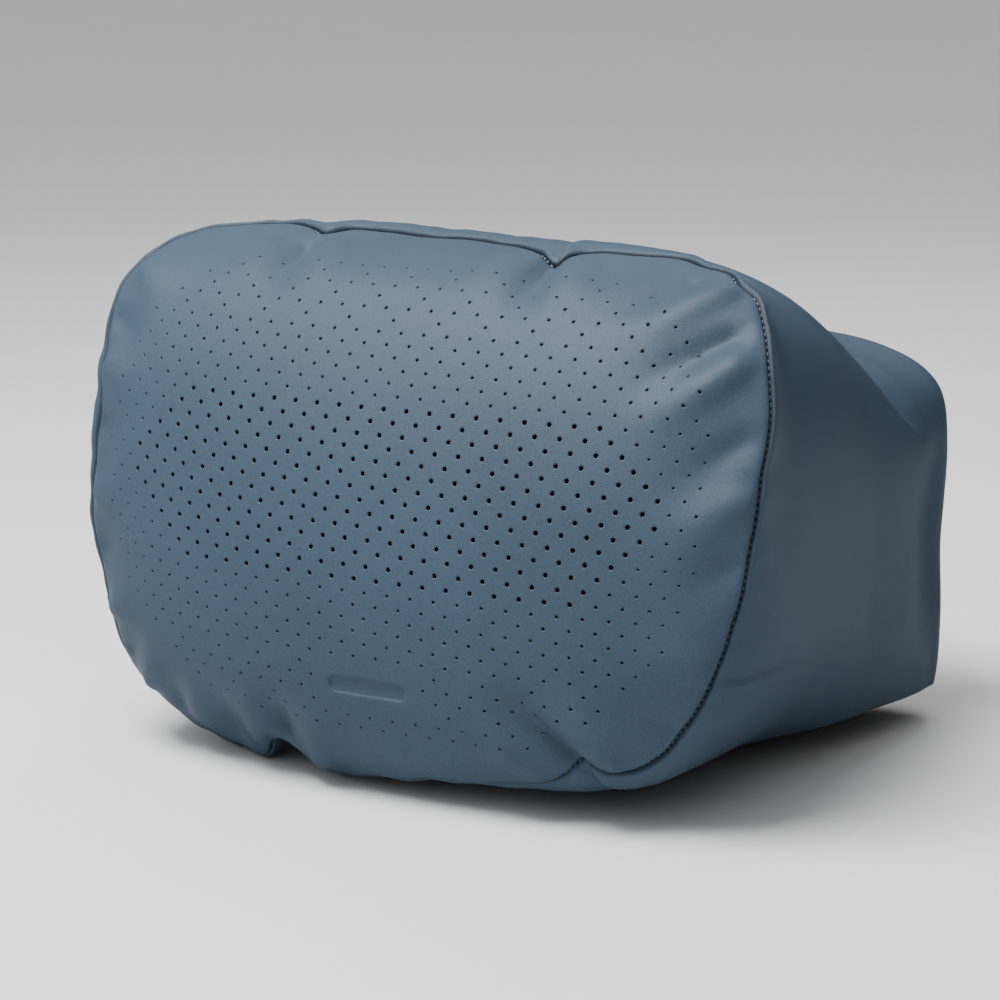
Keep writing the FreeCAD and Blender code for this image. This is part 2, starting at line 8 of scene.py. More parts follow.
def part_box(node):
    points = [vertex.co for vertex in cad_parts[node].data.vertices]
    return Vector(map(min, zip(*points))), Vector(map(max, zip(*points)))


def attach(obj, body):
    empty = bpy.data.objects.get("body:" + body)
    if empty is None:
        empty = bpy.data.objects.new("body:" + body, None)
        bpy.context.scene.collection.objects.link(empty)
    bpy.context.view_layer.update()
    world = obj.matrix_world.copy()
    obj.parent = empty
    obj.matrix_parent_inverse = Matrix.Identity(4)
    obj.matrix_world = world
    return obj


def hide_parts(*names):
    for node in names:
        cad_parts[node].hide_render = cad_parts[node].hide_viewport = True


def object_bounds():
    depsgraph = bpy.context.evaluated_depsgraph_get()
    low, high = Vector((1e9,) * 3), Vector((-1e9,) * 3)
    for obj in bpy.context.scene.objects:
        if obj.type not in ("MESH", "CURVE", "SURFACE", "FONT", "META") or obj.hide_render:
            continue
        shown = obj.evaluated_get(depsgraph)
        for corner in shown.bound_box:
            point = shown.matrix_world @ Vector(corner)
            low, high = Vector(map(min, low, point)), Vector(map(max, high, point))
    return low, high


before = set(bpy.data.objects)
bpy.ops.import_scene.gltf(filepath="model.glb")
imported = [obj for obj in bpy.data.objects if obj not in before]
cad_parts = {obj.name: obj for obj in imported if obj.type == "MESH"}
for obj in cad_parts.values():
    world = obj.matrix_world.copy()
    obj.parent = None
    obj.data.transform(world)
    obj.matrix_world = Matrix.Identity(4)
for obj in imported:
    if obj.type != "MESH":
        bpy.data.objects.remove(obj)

# Headrest pillow with a slip-on hood. Shapes are worked out in millimetres in the row frame
# (x right, y back, z up) and turned into metres when a mesh is made.
MM = 0.001
CAD_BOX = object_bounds()
CAD_LOW = np.array(CAD_BOX[0]) / MM
CAD_HIGH = np.array(CAD_BOX[1]) / MM


def cad_box(node):
    """Lowest and highest corner of a CAD node in millimetres."""
    low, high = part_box(node)
    return np.array(low) / MM, np.array(high) / MM


DIVIDER_BACK = cad_box("divider_panel")[1][1]
HEM_Z = cad_box("rear_panel")[0][2]
REAR_Y = CAD_HIGH[1]
SKIN = 1.2  # thickness of the leatherette


def unit(vectors):
    """The same directions with length one, along the last axis."""
    return vectors / np.maximum(np.linalg.norm(vectors, axis=-1, keepdims=True), 1e-12)


def smooth_step(value):
    value = np.clip(value, 0.0, 1.0)
    return value * value * (3.0 - 2.0 * value)


def bump(value, width):
    return np.exp(-(value / width)**2)


def cubic(t, length, start, start_slope, end, end_slope):
    """Smooth step from start to end with the given slopes; t runs from 0 to 1 over the length."""
    return ((2 * t**3 - 3 * t**2 + 1) * start + (t**3 - 2 * t**2 + t) * length * start_slope
            + (3 * t**2 - 2 * t**3) * end + (t**3 - t**2) * length * end_slope)


def neighbours(values, reach, axis=0):
    """The values round a closed ring, shifted by each step up to reach either way."""
    return [np.roll(values, k, axis=axis) for k in range(-reach, reach + 1)]


def slow_noise(points, size, seed):
    """Smooth noise, one number per point, with features of about the given size."""
    shift = Vector((seed * 17.3, seed * 5.1, seed * 9.7))
    return np.array([noise.noise(Vector(p) / size + shift) for p in points])


# ---------------------------------------------------------------- face, as a fitted formula
# The face's middle is the origin of the points below; u runs right and v up along it.
# The factors of the bulge were found by fitting it and the camera to the lattice of perforations.
FACE_MIDDLE = np.array([0.0, CAD_LOW[1] + 6.5, 124.0])
U_UNIT, V_UNIT = 130.0, 95.0
U_LIMIT, V_LOW, V_HIGH = 135.0, -100.0, 95.0
PITCH = 10.0

# The seam round the face, clockwise from the top middle, in mm from the face's middle. A scratch program
# laid places picked in the photograph on the fitted face. About half of these points are its rounded
# output, and the rest were set by hand from it. Puckers are the places where the seam dips.
SEAM = np.array([
    (2, 74, 90), (14, 72, 89.5), (26, 70, 89), (36, 66, 87.8), (44.5, 60, 86.2), (54.5, 68, 88.2),
    (64, 71, 88.8), (75, 71, 88.6), (95, 71, 88.3), (108, 66, 86.5), (120.5, 61, 85), (126, 55.5, 82),
    (135, 51, 78), (140, 46, 71), (146, 37.5, 57), (149, 33, 45), (150.5, 28, 30.5), (150, 24, 18),
    (149, 21, 2), (147.5, 18.5, -12), (146, 17.3, -25), (142.5, 16, -38), (138, 15.3, -53), (132, 15, -67),
    (124, 15, -80), (115, 15.3, -91), (105, 14.5, -98), (96, 12.5, -99.5), (86, 9, -97), (79, 10, -102),
    (70, 11.5, -107), (60, 12, -110), (46, 11.5, -112), (31, 10, -113), (10, 11, -116), (-11, 14, -119),
    (-24, 18, -121.5), (-33, 20, -122.5), (-39.5, 17.5, -119.5), (-44.5, 14, -113), (-51, 15, -110.3),
    (-57.5, 18.5, -111), (-63, 22, -116.5), (-70, 25.5, -121.5), (-81, 29.5, -121.8), (-95, 31, -119),
    (-108, 30.5, -114), (-120, 29.5, -107), (-130, 27.5, -98), (-137, 24, -85), (-138.5, 18.5, -70),
    (-140.5, 16.5, -53), (-145, 17, -38), (-147, 18, -16), (-145.5, 18.5, 0), (-145, 21.5, 17),
    (-146, 26, 32), (-149, 33.5, 47), (-150, 40, 59), (-146, 47, 70), (-139, 56, 79.5),
    (-125, 75, 87.5), (-108, 81, 89.4), (-88.5, 84, 90.4), (-77, 80, 90), (-67, 73, 88.6),
    (-57, 80, 90.2), (-41, 79, 90.2), (-19, 75, 89.8),
], dtype=float)
LOOP = 600

# Soft ridges (height > 0) and valleys that run in from the seam: start u, v, end u, v, half-width, height.
FOLD_DEPTH = 1.85
FOLDS = [
    (128, 92, 84, 62, 7.5, 2.0), (136, 74, 90, 40, 8.0, -1.9), (141, 62, 96, 26, 8.5, 2.1),
    (147, 34, 108, 2, 9.0, -1.3), (150, 12, 110, -16, 9.0, 1.4), (148, -12, 118, -34, 8.0, -0.8),
    (112, 100, 78, 72, 7.0, -1.6), (45, 112, 46, 62, 8.0, -3.0), (60, 110, 66, 72, 9.0, 1.3),
    (28, 112, 20, 70, 10.0, 1.1), (-67, 112, -64, 66, 8.0, -2.4), (-84, 110, -90, 74, 10.0, 1.2),
    (-52, 112, -46, 74, 9.0, 1.0), (86, -100, 50, -62, 8.0, -3.6), (101, -98, 70, -66, 8.5, 2.3),
    (70, -108, 40, -80, 8.0, 1.5), (124, -82, 96, -60, 9.0, -1.2), (138, -56, 108, -42, 9.0, 1.0),
    (-51, -112, -42, -74, 8.0, -3.0), (-67, -119, -60, -80, 7.5, 2.2), (-34, -121, -22, -82, 7.5, 2.0),
    (-84, -121, -74, -84, 7.5, -1.2), (-99, -117, -86, -80, 8.0, 1.7), (-114, -111, -96, -80, 7.0, -1.4),
    (-126, -101, -104, -74, 7.0, 1.4), (-136, -86, -112, -66, 6.5, -1.2), (-141, -66, -114, -54, 7.5, 1.4),
    (-145, -40, -120, -34, 8.0, -1.0), (-147, -16, -120, -16, 8.5, 1.1), (-146, 12, -122, 8, 9.0, -1.0),
    (-147, 36, -118, 28, 9.0, 1.2), (-148, 58, -118, 44, 9.0, -1.2), (-140, 82, -112, 64, 9.0, 1.2),
]


def bulge_and_slopes(u, v):
    """Forward bulge of the face and its two slopes."""
    a, b = u / U_UNIT, v / V_UNIT
    bulge = (-5.62 * a**2 - 16.27 * b**2 - 6.97 * a**4 - 4.35 * a**2 * b**2 - 5.73 * b**4
             - 21.77 * b - 0.96 * b**3 + 6.10 * a**2 * b)
    slope_u = (-11.24 * a - 27.88 * a**3 - 8.70 * a * b**2 + 12.20 * a * b) / U_UNIT
    slope_v = (-32.54 * b - 8.70 * a**2 * b - 22.92 * b**3 - 21.77 - 2.88 * b**2 + 6.10 * a**2) / V_UNIT
    return bulge, slope_u, slope_v


def chord(slope):
    """Run per unit of arc where the surface climbs by slope per unit of arc."""
    return np.sqrt(np.clip(1.0 - slope**2, 0.04, 1.0))


def face_frame(u, v):
    """Point and the two tangents of the plain face; beyond its fitted part it runs on straight."""
    steps = 24
    cu = np.clip(u, -U_LIMIT, U_LIMIT)
    cv = np.clip(v, V_LOW, V_HIGH)
    x = np.zeros_like(cu)
    z = np.zeros_like(cv)
    for k in range(steps):
        part = (k + 0.5) / steps
        x += cu / steps * chord(bulge_and_slopes(cu * part, cv)[1])
        z += cv / steps * chord(bulge_and_slopes(cu, cv * part)[2])
    bulge, slope_u, slope_v = bulge_and_slopes(cu, cv)
    zero = np.zeros_like(cu)
    tangent_u = np.stack([chord(slope_u), -slope_u, zero], -1)
    tangent_v = np.stack([zero, -slope_v, chord(slope_v)], -1)
    point = np.stack([x, -bulge, z], -1)
    point += (u - cu)[:, None] * tangent_u + (v - cv)[:, None] * tangent_v
    return point, tangent_u, tangent_v


def flat_places(points):
    """Flat u, v of points near the face, by stepping along its tangents."""
    u, v = points[:, 0].copy(), points[:, 2].copy()
    for _ in range(30):
        here, tangent_u, tangent_v = face_frame(u, v)
        miss = points - here
        u += 0.7 * np.sum(miss * tangent_u, 1)
        v += 0.7 * np.sum(miss * tangent_v, 1)
    return u, v


def plate_kernel(a, b):
    gap = np.sum((a[:, None, :] - b[None, :, :])**2, -1)
    return 0.5 * gap * np.log(gap + 1e-9)


def plate_fit(knots, values):
    """Weights of the thin plate that takes the given values at the knots."""
    count = len(knots)
    flat = np.hstack([np.ones((count, 1)), knots])
    system = np.zeros((count + 3, count + 3))
    system[:count, :count] = plate_kernel(knots, knots) + np.eye(count) * 1e-6
    system[:count, count:] = flat
    system[count:, :count] = flat.T
    target = np.vstack([values, np.zeros((3, values.shape[1]))])
    return np.linalg.solve(system, target)


def plate_value(knots, weights, places):
    flat = np.hstack([np.ones((len(places), 1)), places])
    return plate_kernel(places, knots) @ weights[:len(knots)] + flat @ weights[len(knots):]


SCALE_UV = 1.0 / 100.0
KNOT_U = np.arange(-112.0, 113.0, 28.0)
KNOT_V = np.arange(-84.0, 85.0, 21.0)
seam_u, seam_v = flat_places(SEAM)
seam_knots = np.stack([seam_u, seam_v], 1)
inner_knots = np.array([(u, v) for u in KNOT_U for v in KNOT_V
                        if abs(u / 128)**3 + abs(v / 96)**3 < 0.9])
knots = np.vstack([seam_knots, inner_knots]) * SCALE_UV
pull = np.vstack([SEAM - face_frame(seam_u, seam_v)[0], np.zeros((len(inner_knots), 3))])
plate_weights = plate_fit(knots, pull)


def ridge(u, v, fold):
    """Height of one soft ridge: strongest a little way in from the seam, gone at its inner end."""
    u0, v0, u1, v1, width, height = fold
    du, dv = u1 - u0, v1 - v0
    length = math.hypot(du, dv)
    along = ((u - u0) * du + (v - v0) * dv) / length**2
    across = ((u - u0) * dv - (v - v0) * du) / length
    spread = width * (0.55 + 0.75 * np.clip(along, 0, 1))
    taper = smooth_step((along + 0.06) / 0.2) * smooth_step((1.0 - along) / 0.8)
    return height * taper * np.exp(-(across / spread)**2)


def face_normals(u, v):
    """Outward unit normals of the plain face."""
    _, tangent_u, tangent_v = face_frame(u, v)
    return unit(np.cross(tangent_u, tangent_v))


def face_point(u, v):
    """Point of the finished face (mm, row frame) for flat places u, v."""
    point = face_frame(u, v)[0] + plate_value(knots, plate_weights, np.stack([u, v], 1) * SCALE_UV)
    height = FOLD_DEPTH * sum(ridge(u, v, fold) for fold in FOLDS)
    return point + face_normals(u, v) * height[:, None] + FACE_MIDDLE


def closed_curve(points, count):
    """Smooth closed curve through points (rows), resampled evenly along its first three columns."""
    ring = np.vstack([points[-1:], points, points[:2]])
    gaps = np.linalg.norm(np.diff(ring[:, :3], axis=0), axis=1)
    fine = []
    for k in range(1, len(points) + 1):
        h0, h1, h2 = gaps[k - 1:k + 2]
        p0, p1, p2, p3 = ring[k - 1:k + 3]
        s0, s1, s2 = (p1 - p0) / h0, (p2 - p1) / h1, (p3 - p2) / h2
        m1 = (s0 * h1 + s1 * h0) / (h0 + h1)
        m2 = (s1 * h2 + s2 * h1) / (h1 + h2)
        t = np.linspace(0.0, 1.0, 24, endpoint=False)[:, None]
        fine.append(cubic(t, h1, p1, m1, p2, m2))
    fine = np.vstack(fine)
    closed = np.vstack([fine, fine[:1]])
    length = np.concatenate([[0.0], np.cumsum(np.linalg.norm(np.diff(closed[:, :3], axis=0), axis=1))])
    places = np.linspace(0.0, length[-1], count, endpoint=False)
    return np.stack([np.interp(places, length, closed[:, c]) for c in range(points.shape[1])], 1)


def ring_normals(loop):
    """Outward unit normals of a closed clockwise loop in its own plane (two columns)."""
    along = np.roll(loop, -1, axis=0) - np.roll(loop, 1, axis=0)
    return unit(np.stack([-along[:, 1], along[:, 0]], 1))


seam_loop = closed_curve(np.hstack([SEAM, seam_knots]), LOOP)
loop_flat = seam_loop[:, 3:5]
wobble = slow_noise(np.hstack([loop_flat, np.zeros((LOOP, 1))]), 13.0, 6)
loose = 0.35 + 1.75 * smooth_step((40.0 - loop_flat[:, 0] - 0.8 * loop_flat[:, 1]) / 160.0)
loop_flat = loop_flat + ring_normals(loop_flat) * (loose * wobble)[:, None]
loop_point = face_point(loop_flat[:, 0], loop_flat[:, 1])


# ---------------------------------------------------------------- making meshes

def add_object(name, data):
    obj = bpy.data.objects.new(name, data)
    bpy.context.scene.collection.objects.link(obj)
    return obj


def make_object(name, points, faces):
    """Smooth mesh object from points in mm."""
    mesh = bpy.data.meshes.new(name)
    corners = [tuple(p) for p in np.asarray(points) * MM]
    mesh.from_pydata(corners, [], [tuple(int(i) for i in f) for f in faces])
    mesh.validate()
    mesh.update()
    mesh.shade_smooth()
    return add_object(name, mesh)


def vertex_normals(points, faces):
    """Area-weighted unit normals; faces may be triangles or quads."""
    normal = np.zeros_like(points)
    for size, (a, b, c, d) in ((3, (0, 1, 0, 2)), (4, (0, 2, 1, 3))):
        group = np.array([f for f in faces if len(f) == size])
        if len(group) == 0:
            continue
        corner = points[group]
        area = np.cross(corner[:, b] - corner[:, a], corner[:, d] - corner[:, c])
        for k in range(size):
            np.add.at(normal, group[:, k], area)
    return unit(normal)


def boundary_edges(faces):
    """Directed edges that only one face uses."""
    edges = {}
    for face in faces:
        for a, b in zip(face, tuple(face[1:]) + (face[0],)):
            edges[(a, b)] = True
    return [(a, b) for a, b in edges if (b, a) not in edges]


def thick_sheet(name, points, faces, thick, normals=None):
    """Closed sheet: the given surface outside, the same moved inwards, and walls at every edge."""
    faces = [tuple(int(i) for i in f) for f in faces]
    if normals is None:
        normals = vertex_normals(points, faces)
    count = len(points)
    inner = points - normals * thick
    back = [tuple(i + count for i in reversed(f)) for f in faces]
    walls = [(b, a, a + count, b + count) for a, b in boundary_edges(faces)]
    return make_object(name, np.vstack([points, inner]), faces + back + walls)


def grid_faces(rows, columns, closed=False):
    """Quads of a grid whose points run column by column within each row."""
    faces = []
    last = columns if closed else columns - 1
    for r in range(rows - 1):
        for c in range(last):
            d = (c + 1) % columns
            faces.append((r * columns + c, r * columns + d, (r + 1) * columns + d, (r + 1) * columns + c))
    return faces


# ---------------------------------------------------------------- perforated face

# rows that have every other hole only: row number and which places, counted modulo four
SPARSE_ROWS = {-18: 3, -16: 1, -14: 3, 13: 2, 16: 3}
# middle, half-length and half-height of the plain sunk bar
BADGE = (0.0, -75.0, 17.0, 3.2)
ROLL = 2.8
BADGE_DEPTH = 0.8
FACE_SKIN = 1.1
LARGE_HOLE, MIDDLE_HOLE, SMALL_HOLE = 0.95, 0.62, 0.50
HOLE_SIDES, HOLE_COLLAR = 10, 0.55
# rings of points along the seam and along the badge's edge, in mm inwards and outwards
SEAM_RINGS = (0.5, 1.2, 2.2, 3.6, 5.4)
BADGE_RINGS = (-0.5, -0.17, 0.17, 0.5)


def is_perforated(i, j):
    """Whether the lattice place i across, j down has a hole."""
    if (i + j) % 2 == 0:
        return False
    power, rows = (3.0, 21.5) if j < 0 else (2.0, 21.8)
    if (abs(i) / 26.4)**power + (abs(j) / rows)**power > 1.0:
        return False
    if 13 <= j <= 16 and abs(i) <= 4:
        return False
    return j not in SPARSE_ROWS or i % 4 == SPARSE_ROWS[j]


def hole_radius(i, j):
    if -7 <= j <= 6 and abs(i) + abs(j + 1) <= 24 and abs(i) <= 23:
        return LARGE_HOLE
    return MIDDLE_HOLE if abs(i) < 22 and abs(j) < 17 else SMALL_HOLE


def perforations():
    return [(i * PITCH / 2, -(j + 0.5) * PITCH / 2, hole_radius(i, j))
            for j in range(-19, 19) for i in range(-26, 27) if is_perforated(i, j)]


def badge_loop(grow, turns=20, along=24):
    """Outline of the plain sunk badge: a bar with round ends."""
    u, v, half, radius = BADGE
    reach, size = half - radius, radius + grow
    end = np.linspace(-math.pi / 2, math.pi / 2, turns, endpoint=False)
    run = np.linspace(-reach, reach, along, endpoint=False)
    right = np.stack([reach + size * np.cos(end), size * np.sin(end)], 1)
    top = np.stack([-run, np.full(along, size)], 1)
    half_loop = np.vstack([right, top])
    return np.vstack([half_loop, -half_loop]) + [u, v]


def inside_loop(places, loop):
    """Even-odd test of many places against one closed loop."""
    inside = np.zeros(len(places), bool)
    ahead = np.roll(loop, -1, axis=0)
    for (x0, y0), (x1, y1) in zip(loop, ahead):
        if y0 == y1:
            continue
        crosses = (places[:, 1] < y0) != (places[:, 1] < y1)
        inside ^= crosses & (places[:, 0] < (x1 - x0) * (places[:, 1] - y0) / (y1 - y0) + x0)
    return inside


def distance_to_loop(places, loop):
    """Distance from each place to the nearest edge of a closed loop."""
    best = np.full(len(places), 1e9)
    for a, b in zip(loop, np.roll(loop, -1, axis=0)):
        edge = b - a
        t = np.clip(((places - a) @ edge) / (edge @ edge), 0, 1)
        best = np.minimum(best, np.linalg.norm(places - a - t[:, None] * edge, axis=1))
    return best


def triangulate(points, outline_count):
    """Flat points and triangles inside the outline that the first points make."""
    result = delaunay_2d_cdt([Vector(p) for p in points], [], [list(range(outline_count))], 1, 1e-4)
    flat = np.array([tuple(p) for p in result[0]])
    return flat, np.array([f for f in result[2] if len(f) == 3])


def turn_triangles(flat, triangles, side):
    """The triangles, all wound anticlockwise (side 1) or clockwise (side -1)."""
    first, second, third = (flat[triangles[:, k]] for k in range(3))
    wrong = side * np.cross(second - first, third - first) < 0
    triangles[wrong] = triangles[wrong][:, ::-1]
    return triangles


def face_layout():
    """Flat points and triangles of the face, with its holes left open."""
    holes = np.array(perforations())
    out = ring_normals(loop_flat)
    loops = [loop_flat]
    loops += [loop_flat - out * inset for inset in SEAM_RINGS]
    loops += [badge_loop(grow) for grow in BADGE_RINGS]
    turn = np.linspace(0.0, 2 * math.pi, HOLE_SIDES, endpoint=False)
    circle = np.stack([np.cos(turn), np.sin(turn)], 1)
    for u, v, radius in holes:
        loops += [np.array([u, v]) + size * circle for size in (radius, radius + HOLE_COLLAR)]
    step = PITCH / 4
    grid = np.array([(i * step, k * step) for i in range(-62, 63) for k in range(-52, 50)])
    keep = inside_loop(grid, loop_flat) & (distance_to_loop(grid, loop_flat[::3]) > 7.0)
    gap = np.abs(grid[:, None] - holes[None, :, :2]).sum(2).min(1)
    keep &= (gap > 2.0) & ~inside_loop(grid, badge_loop(1.4))
    flat, triangles = triangulate(np.vstack(loops + [grid[keep]]), LOOP)
    middle = flat[triangles].mean(1)
    nearest = np.full(len(middle), 9.0)
    for u, v, radius in holes:
        nearest = np.minimum(nearest, np.hypot(middle[:, 0] - u, middle[:, 1] - v) / radius)
    return flat, turn_triangles(flat, triangles[nearest > 0.98], 1)


def roll_amount(distance, radius):
    """1 at the seam, 0 a roll's radius away, round in between."""
    near = np.clip(1.0 - distance / radius, 0.0, 1.0)
    return 1.0 - np.sqrt(1.0 - near**2)


layout_flat, layout_triangles = face_layout()


# ---------------------------------------------------------------- wrap: sides and top, face to rear

# Outline of the wrap at a distance back: y, half-width, top, foot, and how square its top and foot are.
# y, top and foot are in mm from the face's middle, like the seam.
STATIONS = np.array([
    (-20, 146.5, 90, -119, 3.4, 2.7), (20, 148.0, 90, -119, 3.4, 2.7), (60, 149.5, 91, -121, 3.4, 2.9),
    (98, 149.5, 87.5, -121.5, 3.6, 3.6), (120, 149.0, 82, -123, 3.4, 4.2), (140, 148.5, 74, -126, 3.2, 5.2),
    (165, 149.5, 60, -130, 3.0, 6.5), (190, 151.0, 47.5, -134, 3.4, 7.5), (230, 153.5, 42, -138, 4.8, 8.0),
], dtype=float)
OUTLINE_MIDDLE = -15.0


def smooth_table(table, places):
    """Smooth interpolation of every column of a table against its first."""
    x, y = table[:, 0], table[:, 1:]
    steps = np.diff(x)
    slopes = np.diff(y, axis=0) / steps[:, None]
    weight = (steps[:-1] / (steps[:-1] + steps[1:]))[:, None]
    middle = slopes[:-1] * (1 - weight) + slopes[1:] * weight
    tangents = np.vstack([slopes[:1], middle, slopes[-1:]])
    k = np.clip(np.searchsorted(x, places) - 1, 0, len(x) - 2)
    h = steps[k]
    t = np.clip((places - x[k]) / h, 0.0, 1.0)[:, None]
    return cubic(t, h[:, None], y[k], tangents[k], y[k + 1], tangents[k + 1])


def outline_point(angle, y):
    """x and z of the wrap's outline in the direction of an angle, at a distance back."""
    half, top, foot, top_power, foot_power = smooth_table(STATIONS, y).T
    upper = np.sin(angle) >= 0
    reach = np.where(upper, top - OUTLINE_MIDDLE, OUTLINE_MIDDLE - foot)
    power = np.where(upper, top_power, foot_power)
    size = ((np.abs(np.cos(angle)) / half)**power + (np.abs(np.sin(angle)) / reach)**power)**(-1.0 / power)
    return np.stack([size * np.cos(angle), OUTLINE_MIDDLE + size * np.sin(angle)], -1)


seam_face = loop_point - FACE_MIDDLE
seam_angle = np.unwrap(np.arctan2(seam_face[:, 2] - OUTLINE_MIDDLE, seam_face[:, 0]))
seam_normal = ring_normals(seam_face[:, [0, 2]])
for _ in range(6):
    seam_normal = (np.roll(seam_normal, 1, 0) + seam_normal * 2 + np.roll(seam_normal, -1, 0)) / 4
seam_normal = unit(seam_normal)
DIVIDER_Y = DIVIDER_BACK - FACE_MIDDLE[1]
PILLOW_ROWS = 34
HOOD_ROWS = 52
CORNER_ROWS = 9
CORNER_RADIUS = 12.0
REAR_LAP = 9.0
FLOOR = -FACE_MIDDLE[2] + 0.4
HEM = HEM_Z - FACE_MIDDLE[2]
REAR = REAR_Y - FACE_MIDDLE[1]
loop_length = np.cumsum(np.linalg.norm(seam_face - np.roll(seam_face, 1, 0), axis=1))
seam_miss = seam_face[:, [0, 2]] - outline_point(seam_angle, seam_face[:, 1])
scallop = np.array([noise.noise(Vector((place / 11.0, 3.1, 0.0))) for place in loop_length])


seam_x, _, seam_z = seam_face.T
# how far the wrap bulges out behind the seam: most on the left and the top, least below
seam_swell = (1.5 + 4.6 * np.maximum(-seam_normal[:, 0], 0.0) + 2.0 * np.maximum(seam_normal[:, 1], 0.0)
              - 1.3 * np.maximum(-seam_normal[:, 1], 0.0)
              + 8.0 * bump(seam_x - 96.0, 32.0) * (seam_z < -60)
              + 4.2 * bump(seam_x + 95.0, 36.0) * (seam_z < -60)
              + 1.8 * bump(seam_x + 55.0, 60.0) * (seam_z > 60)
              + 2.8 * bump(seam_z - 32.0, 40.0) * (seam_x < -100))


def pillow_surface(columns, part):
    """Points of the wrap between the seam (part 0) and the divider (part 1), from the face's middle."""
    columns, part = np.broadcast_arrays(columns, part)
    seam = seam_face[columns]
    back = (DIVIDER_Y - seam[..., 1]) * part
    y = seam[..., 1] + back
    fade = np.exp(-(back / 15.0)**1.3) * (1 - smooth_step(part))
    swell = (seam_swell[columns] + 2.4 * scallop[columns] * np.exp(-back / 11.0)) * (1 - np.exp(-back / 4.5))
    swell = swell * np.exp(-back / 70.0) * (1 - smooth_step((part - 0.5) * 2))
    shape = part.shape
    outline = outline_point(seam_angle[columns].ravel(), y.ravel()).reshape(shape + (2,))
    flat = outline + seam_miss[columns] * fade[..., None] + seam_normal[columns] * swell[..., None]
    x, z = flat[..., 0], flat[..., 1]
    z = z - 2.6 * bump(x - 8.0, 46.0) * smooth_step(z / 60.0) * smooth_step(back / 26.0)
    near_seam = smooth_step(back / 3.0) * np.exp(-back / 30.0)
    z = z + 8.0 * bump(x + 54.0, 10.0) * smooth_step(-z / 60.0) * near_seam
    return np.stack([x, y, np.maximum(z, FLOOR)], -1)


def nearest_column(x):
    """Loop column on the underside whose seam point is nearest to an x."""
    low = np.where(seam_z < -60)[0]
    return low[np.argmin(np.abs(seam_x[low] - x))]


SIDE_X = 86.0
right_column = nearest_column(SIDE_X)
left_column = nearest_column(-SIDE_X)
wrap_columns = np.concatenate([np.arange(left_column, LOOP), np.arange(0, right_column + 1)])
wrap_angle = seam_angle[wrap_columns] + np.where(wrap_columns >= left_column, 2 * math.pi, 0.0)
base_columns = np.arange(right_column, left_column + 1)
divider_ring = pillow_surface(np.arange(LOOP), np.ones(LOOP))


def hem_angle(y, side):
    """Direction in which the outline reaches the hem, on the right (1) or left (-1)."""
    angles = np.linspace(-0.25, -1.5, 240)
    z = outline_point(angles, np.full(240, y))[:, 1]
    start = divider_ring[right_column if side > 0 else left_column, 2]
    level = start + (HEM + 2.5 + 1.8 * bump(y - 165.0, 30.0) - start) * smooth_step((y - DIVIDER_Y) / 30.0)
    angle = np.interp(-level, -z, angles)
    return angle if side > 0 else math.pi - angle


def hood_rings():
    """Open rings from the divider to the rear corner, then round the corner onto the rear face."""
    ends = np.linspace(-1.0, 1.0, len(wrap_columns))
    near_end = smooth_step((np.abs(ends) - 0.55) / 0.45)
    rings = []
    for y in np.linspace(DIVIDER_Y, REAR - CORNER_RADIUS, HOOD_ROWS):
        left = hem_angle(y, -1) - hem_angle(DIVIDER_Y, -1)
        right = hem_angle(y, 1) - hem_angle(DIVIDER_Y, 1)
        angle = wrap_angle + near_end * np.where(ends < 0, left, right)
        flat = outline_point(angle, np.full(len(angle), y))
        rings.append(np.stack([flat[:, 0], np.full(len(angle), y), flat[:, 1]], 1))
    last = rings[-1]
    along = np.gradient(last[:, [0, 2]], axis=0)
    inward = unit(np.stack([along[:, 1], -along[:, 0]], 1))
    inward[:, 1] *= smooth_step((last[:, 2] - HEM) / 30.0)
    steps = [(CORNER_RADIUS * (1 - math.cos(a)), CORNER_RADIUS * math.sin(a))
             for a in np.linspace(0.0, math.pi / 2, CORNER_ROWS)[1:]]
    steps += [(CORNER_RADIUS + REAR_LAP * k / 5, CORNER_RADIUS) for k in (1, 2, 3, 4, 5)]
    for inset, back in steps:
        flat = last[:, [0, 2]] + inward * inset
        rings.append(np.stack([flat[:, 0], last[:, 1] + back, flat[:, 1]], 1))
    return rings


# side, start and end of the crease (y, z), depth, spread and overhang
SLACK_FOLDS = [(1, (130, 60), (194, -6), 13.0, 42.0, 2.6), (-1, (122, 62), (206, 10), 8.0, 34.0, 2.0)]


def slack_fold(points, side, start, end, depth, spread, overhang):
    """Dent of slack leather behind a crease. start and end are y, z of the crease seen from the side."""
    start, end = np.array(start, float), np.array(end, float)
    length = np.linalg.norm(end - start)
    along = (end - start) / length
    across = np.array([-along[1], along[0]])
    offset = points[:, 1:] - start
    a = offset @ across
    b = (offset @ along) / length
    here = smooth_step((side * points[:, 0] - 40.0) / 60.0)
    fade = smooth_step((1.0 - b) / 0.75) * smooth_step((b + 0.9) / 0.5) * here
    width = spread * np.clip(1.05 - b, 0.12, 1.4)
    dent = smooth_step(a / 6.0) * (1 - smooth_step((a - 6.0) / width))
    lip = bump(a + 4.0, 6.0)
    moved = points.copy()
    moved[:, 0] -= side * depth * 0.75 * dent * fade
    moved[:, 2] -= depth * 0.66 * dent * fade
    moved[:, 1:] += across * (overhang * lip * fade)[:, None]
    moved[:, 0] += side * 0.35 * overhang * lip * fade
    return moved


SAG, SAG_WIDTH = 9.0, 85.0
DRAW_IN = 2.3


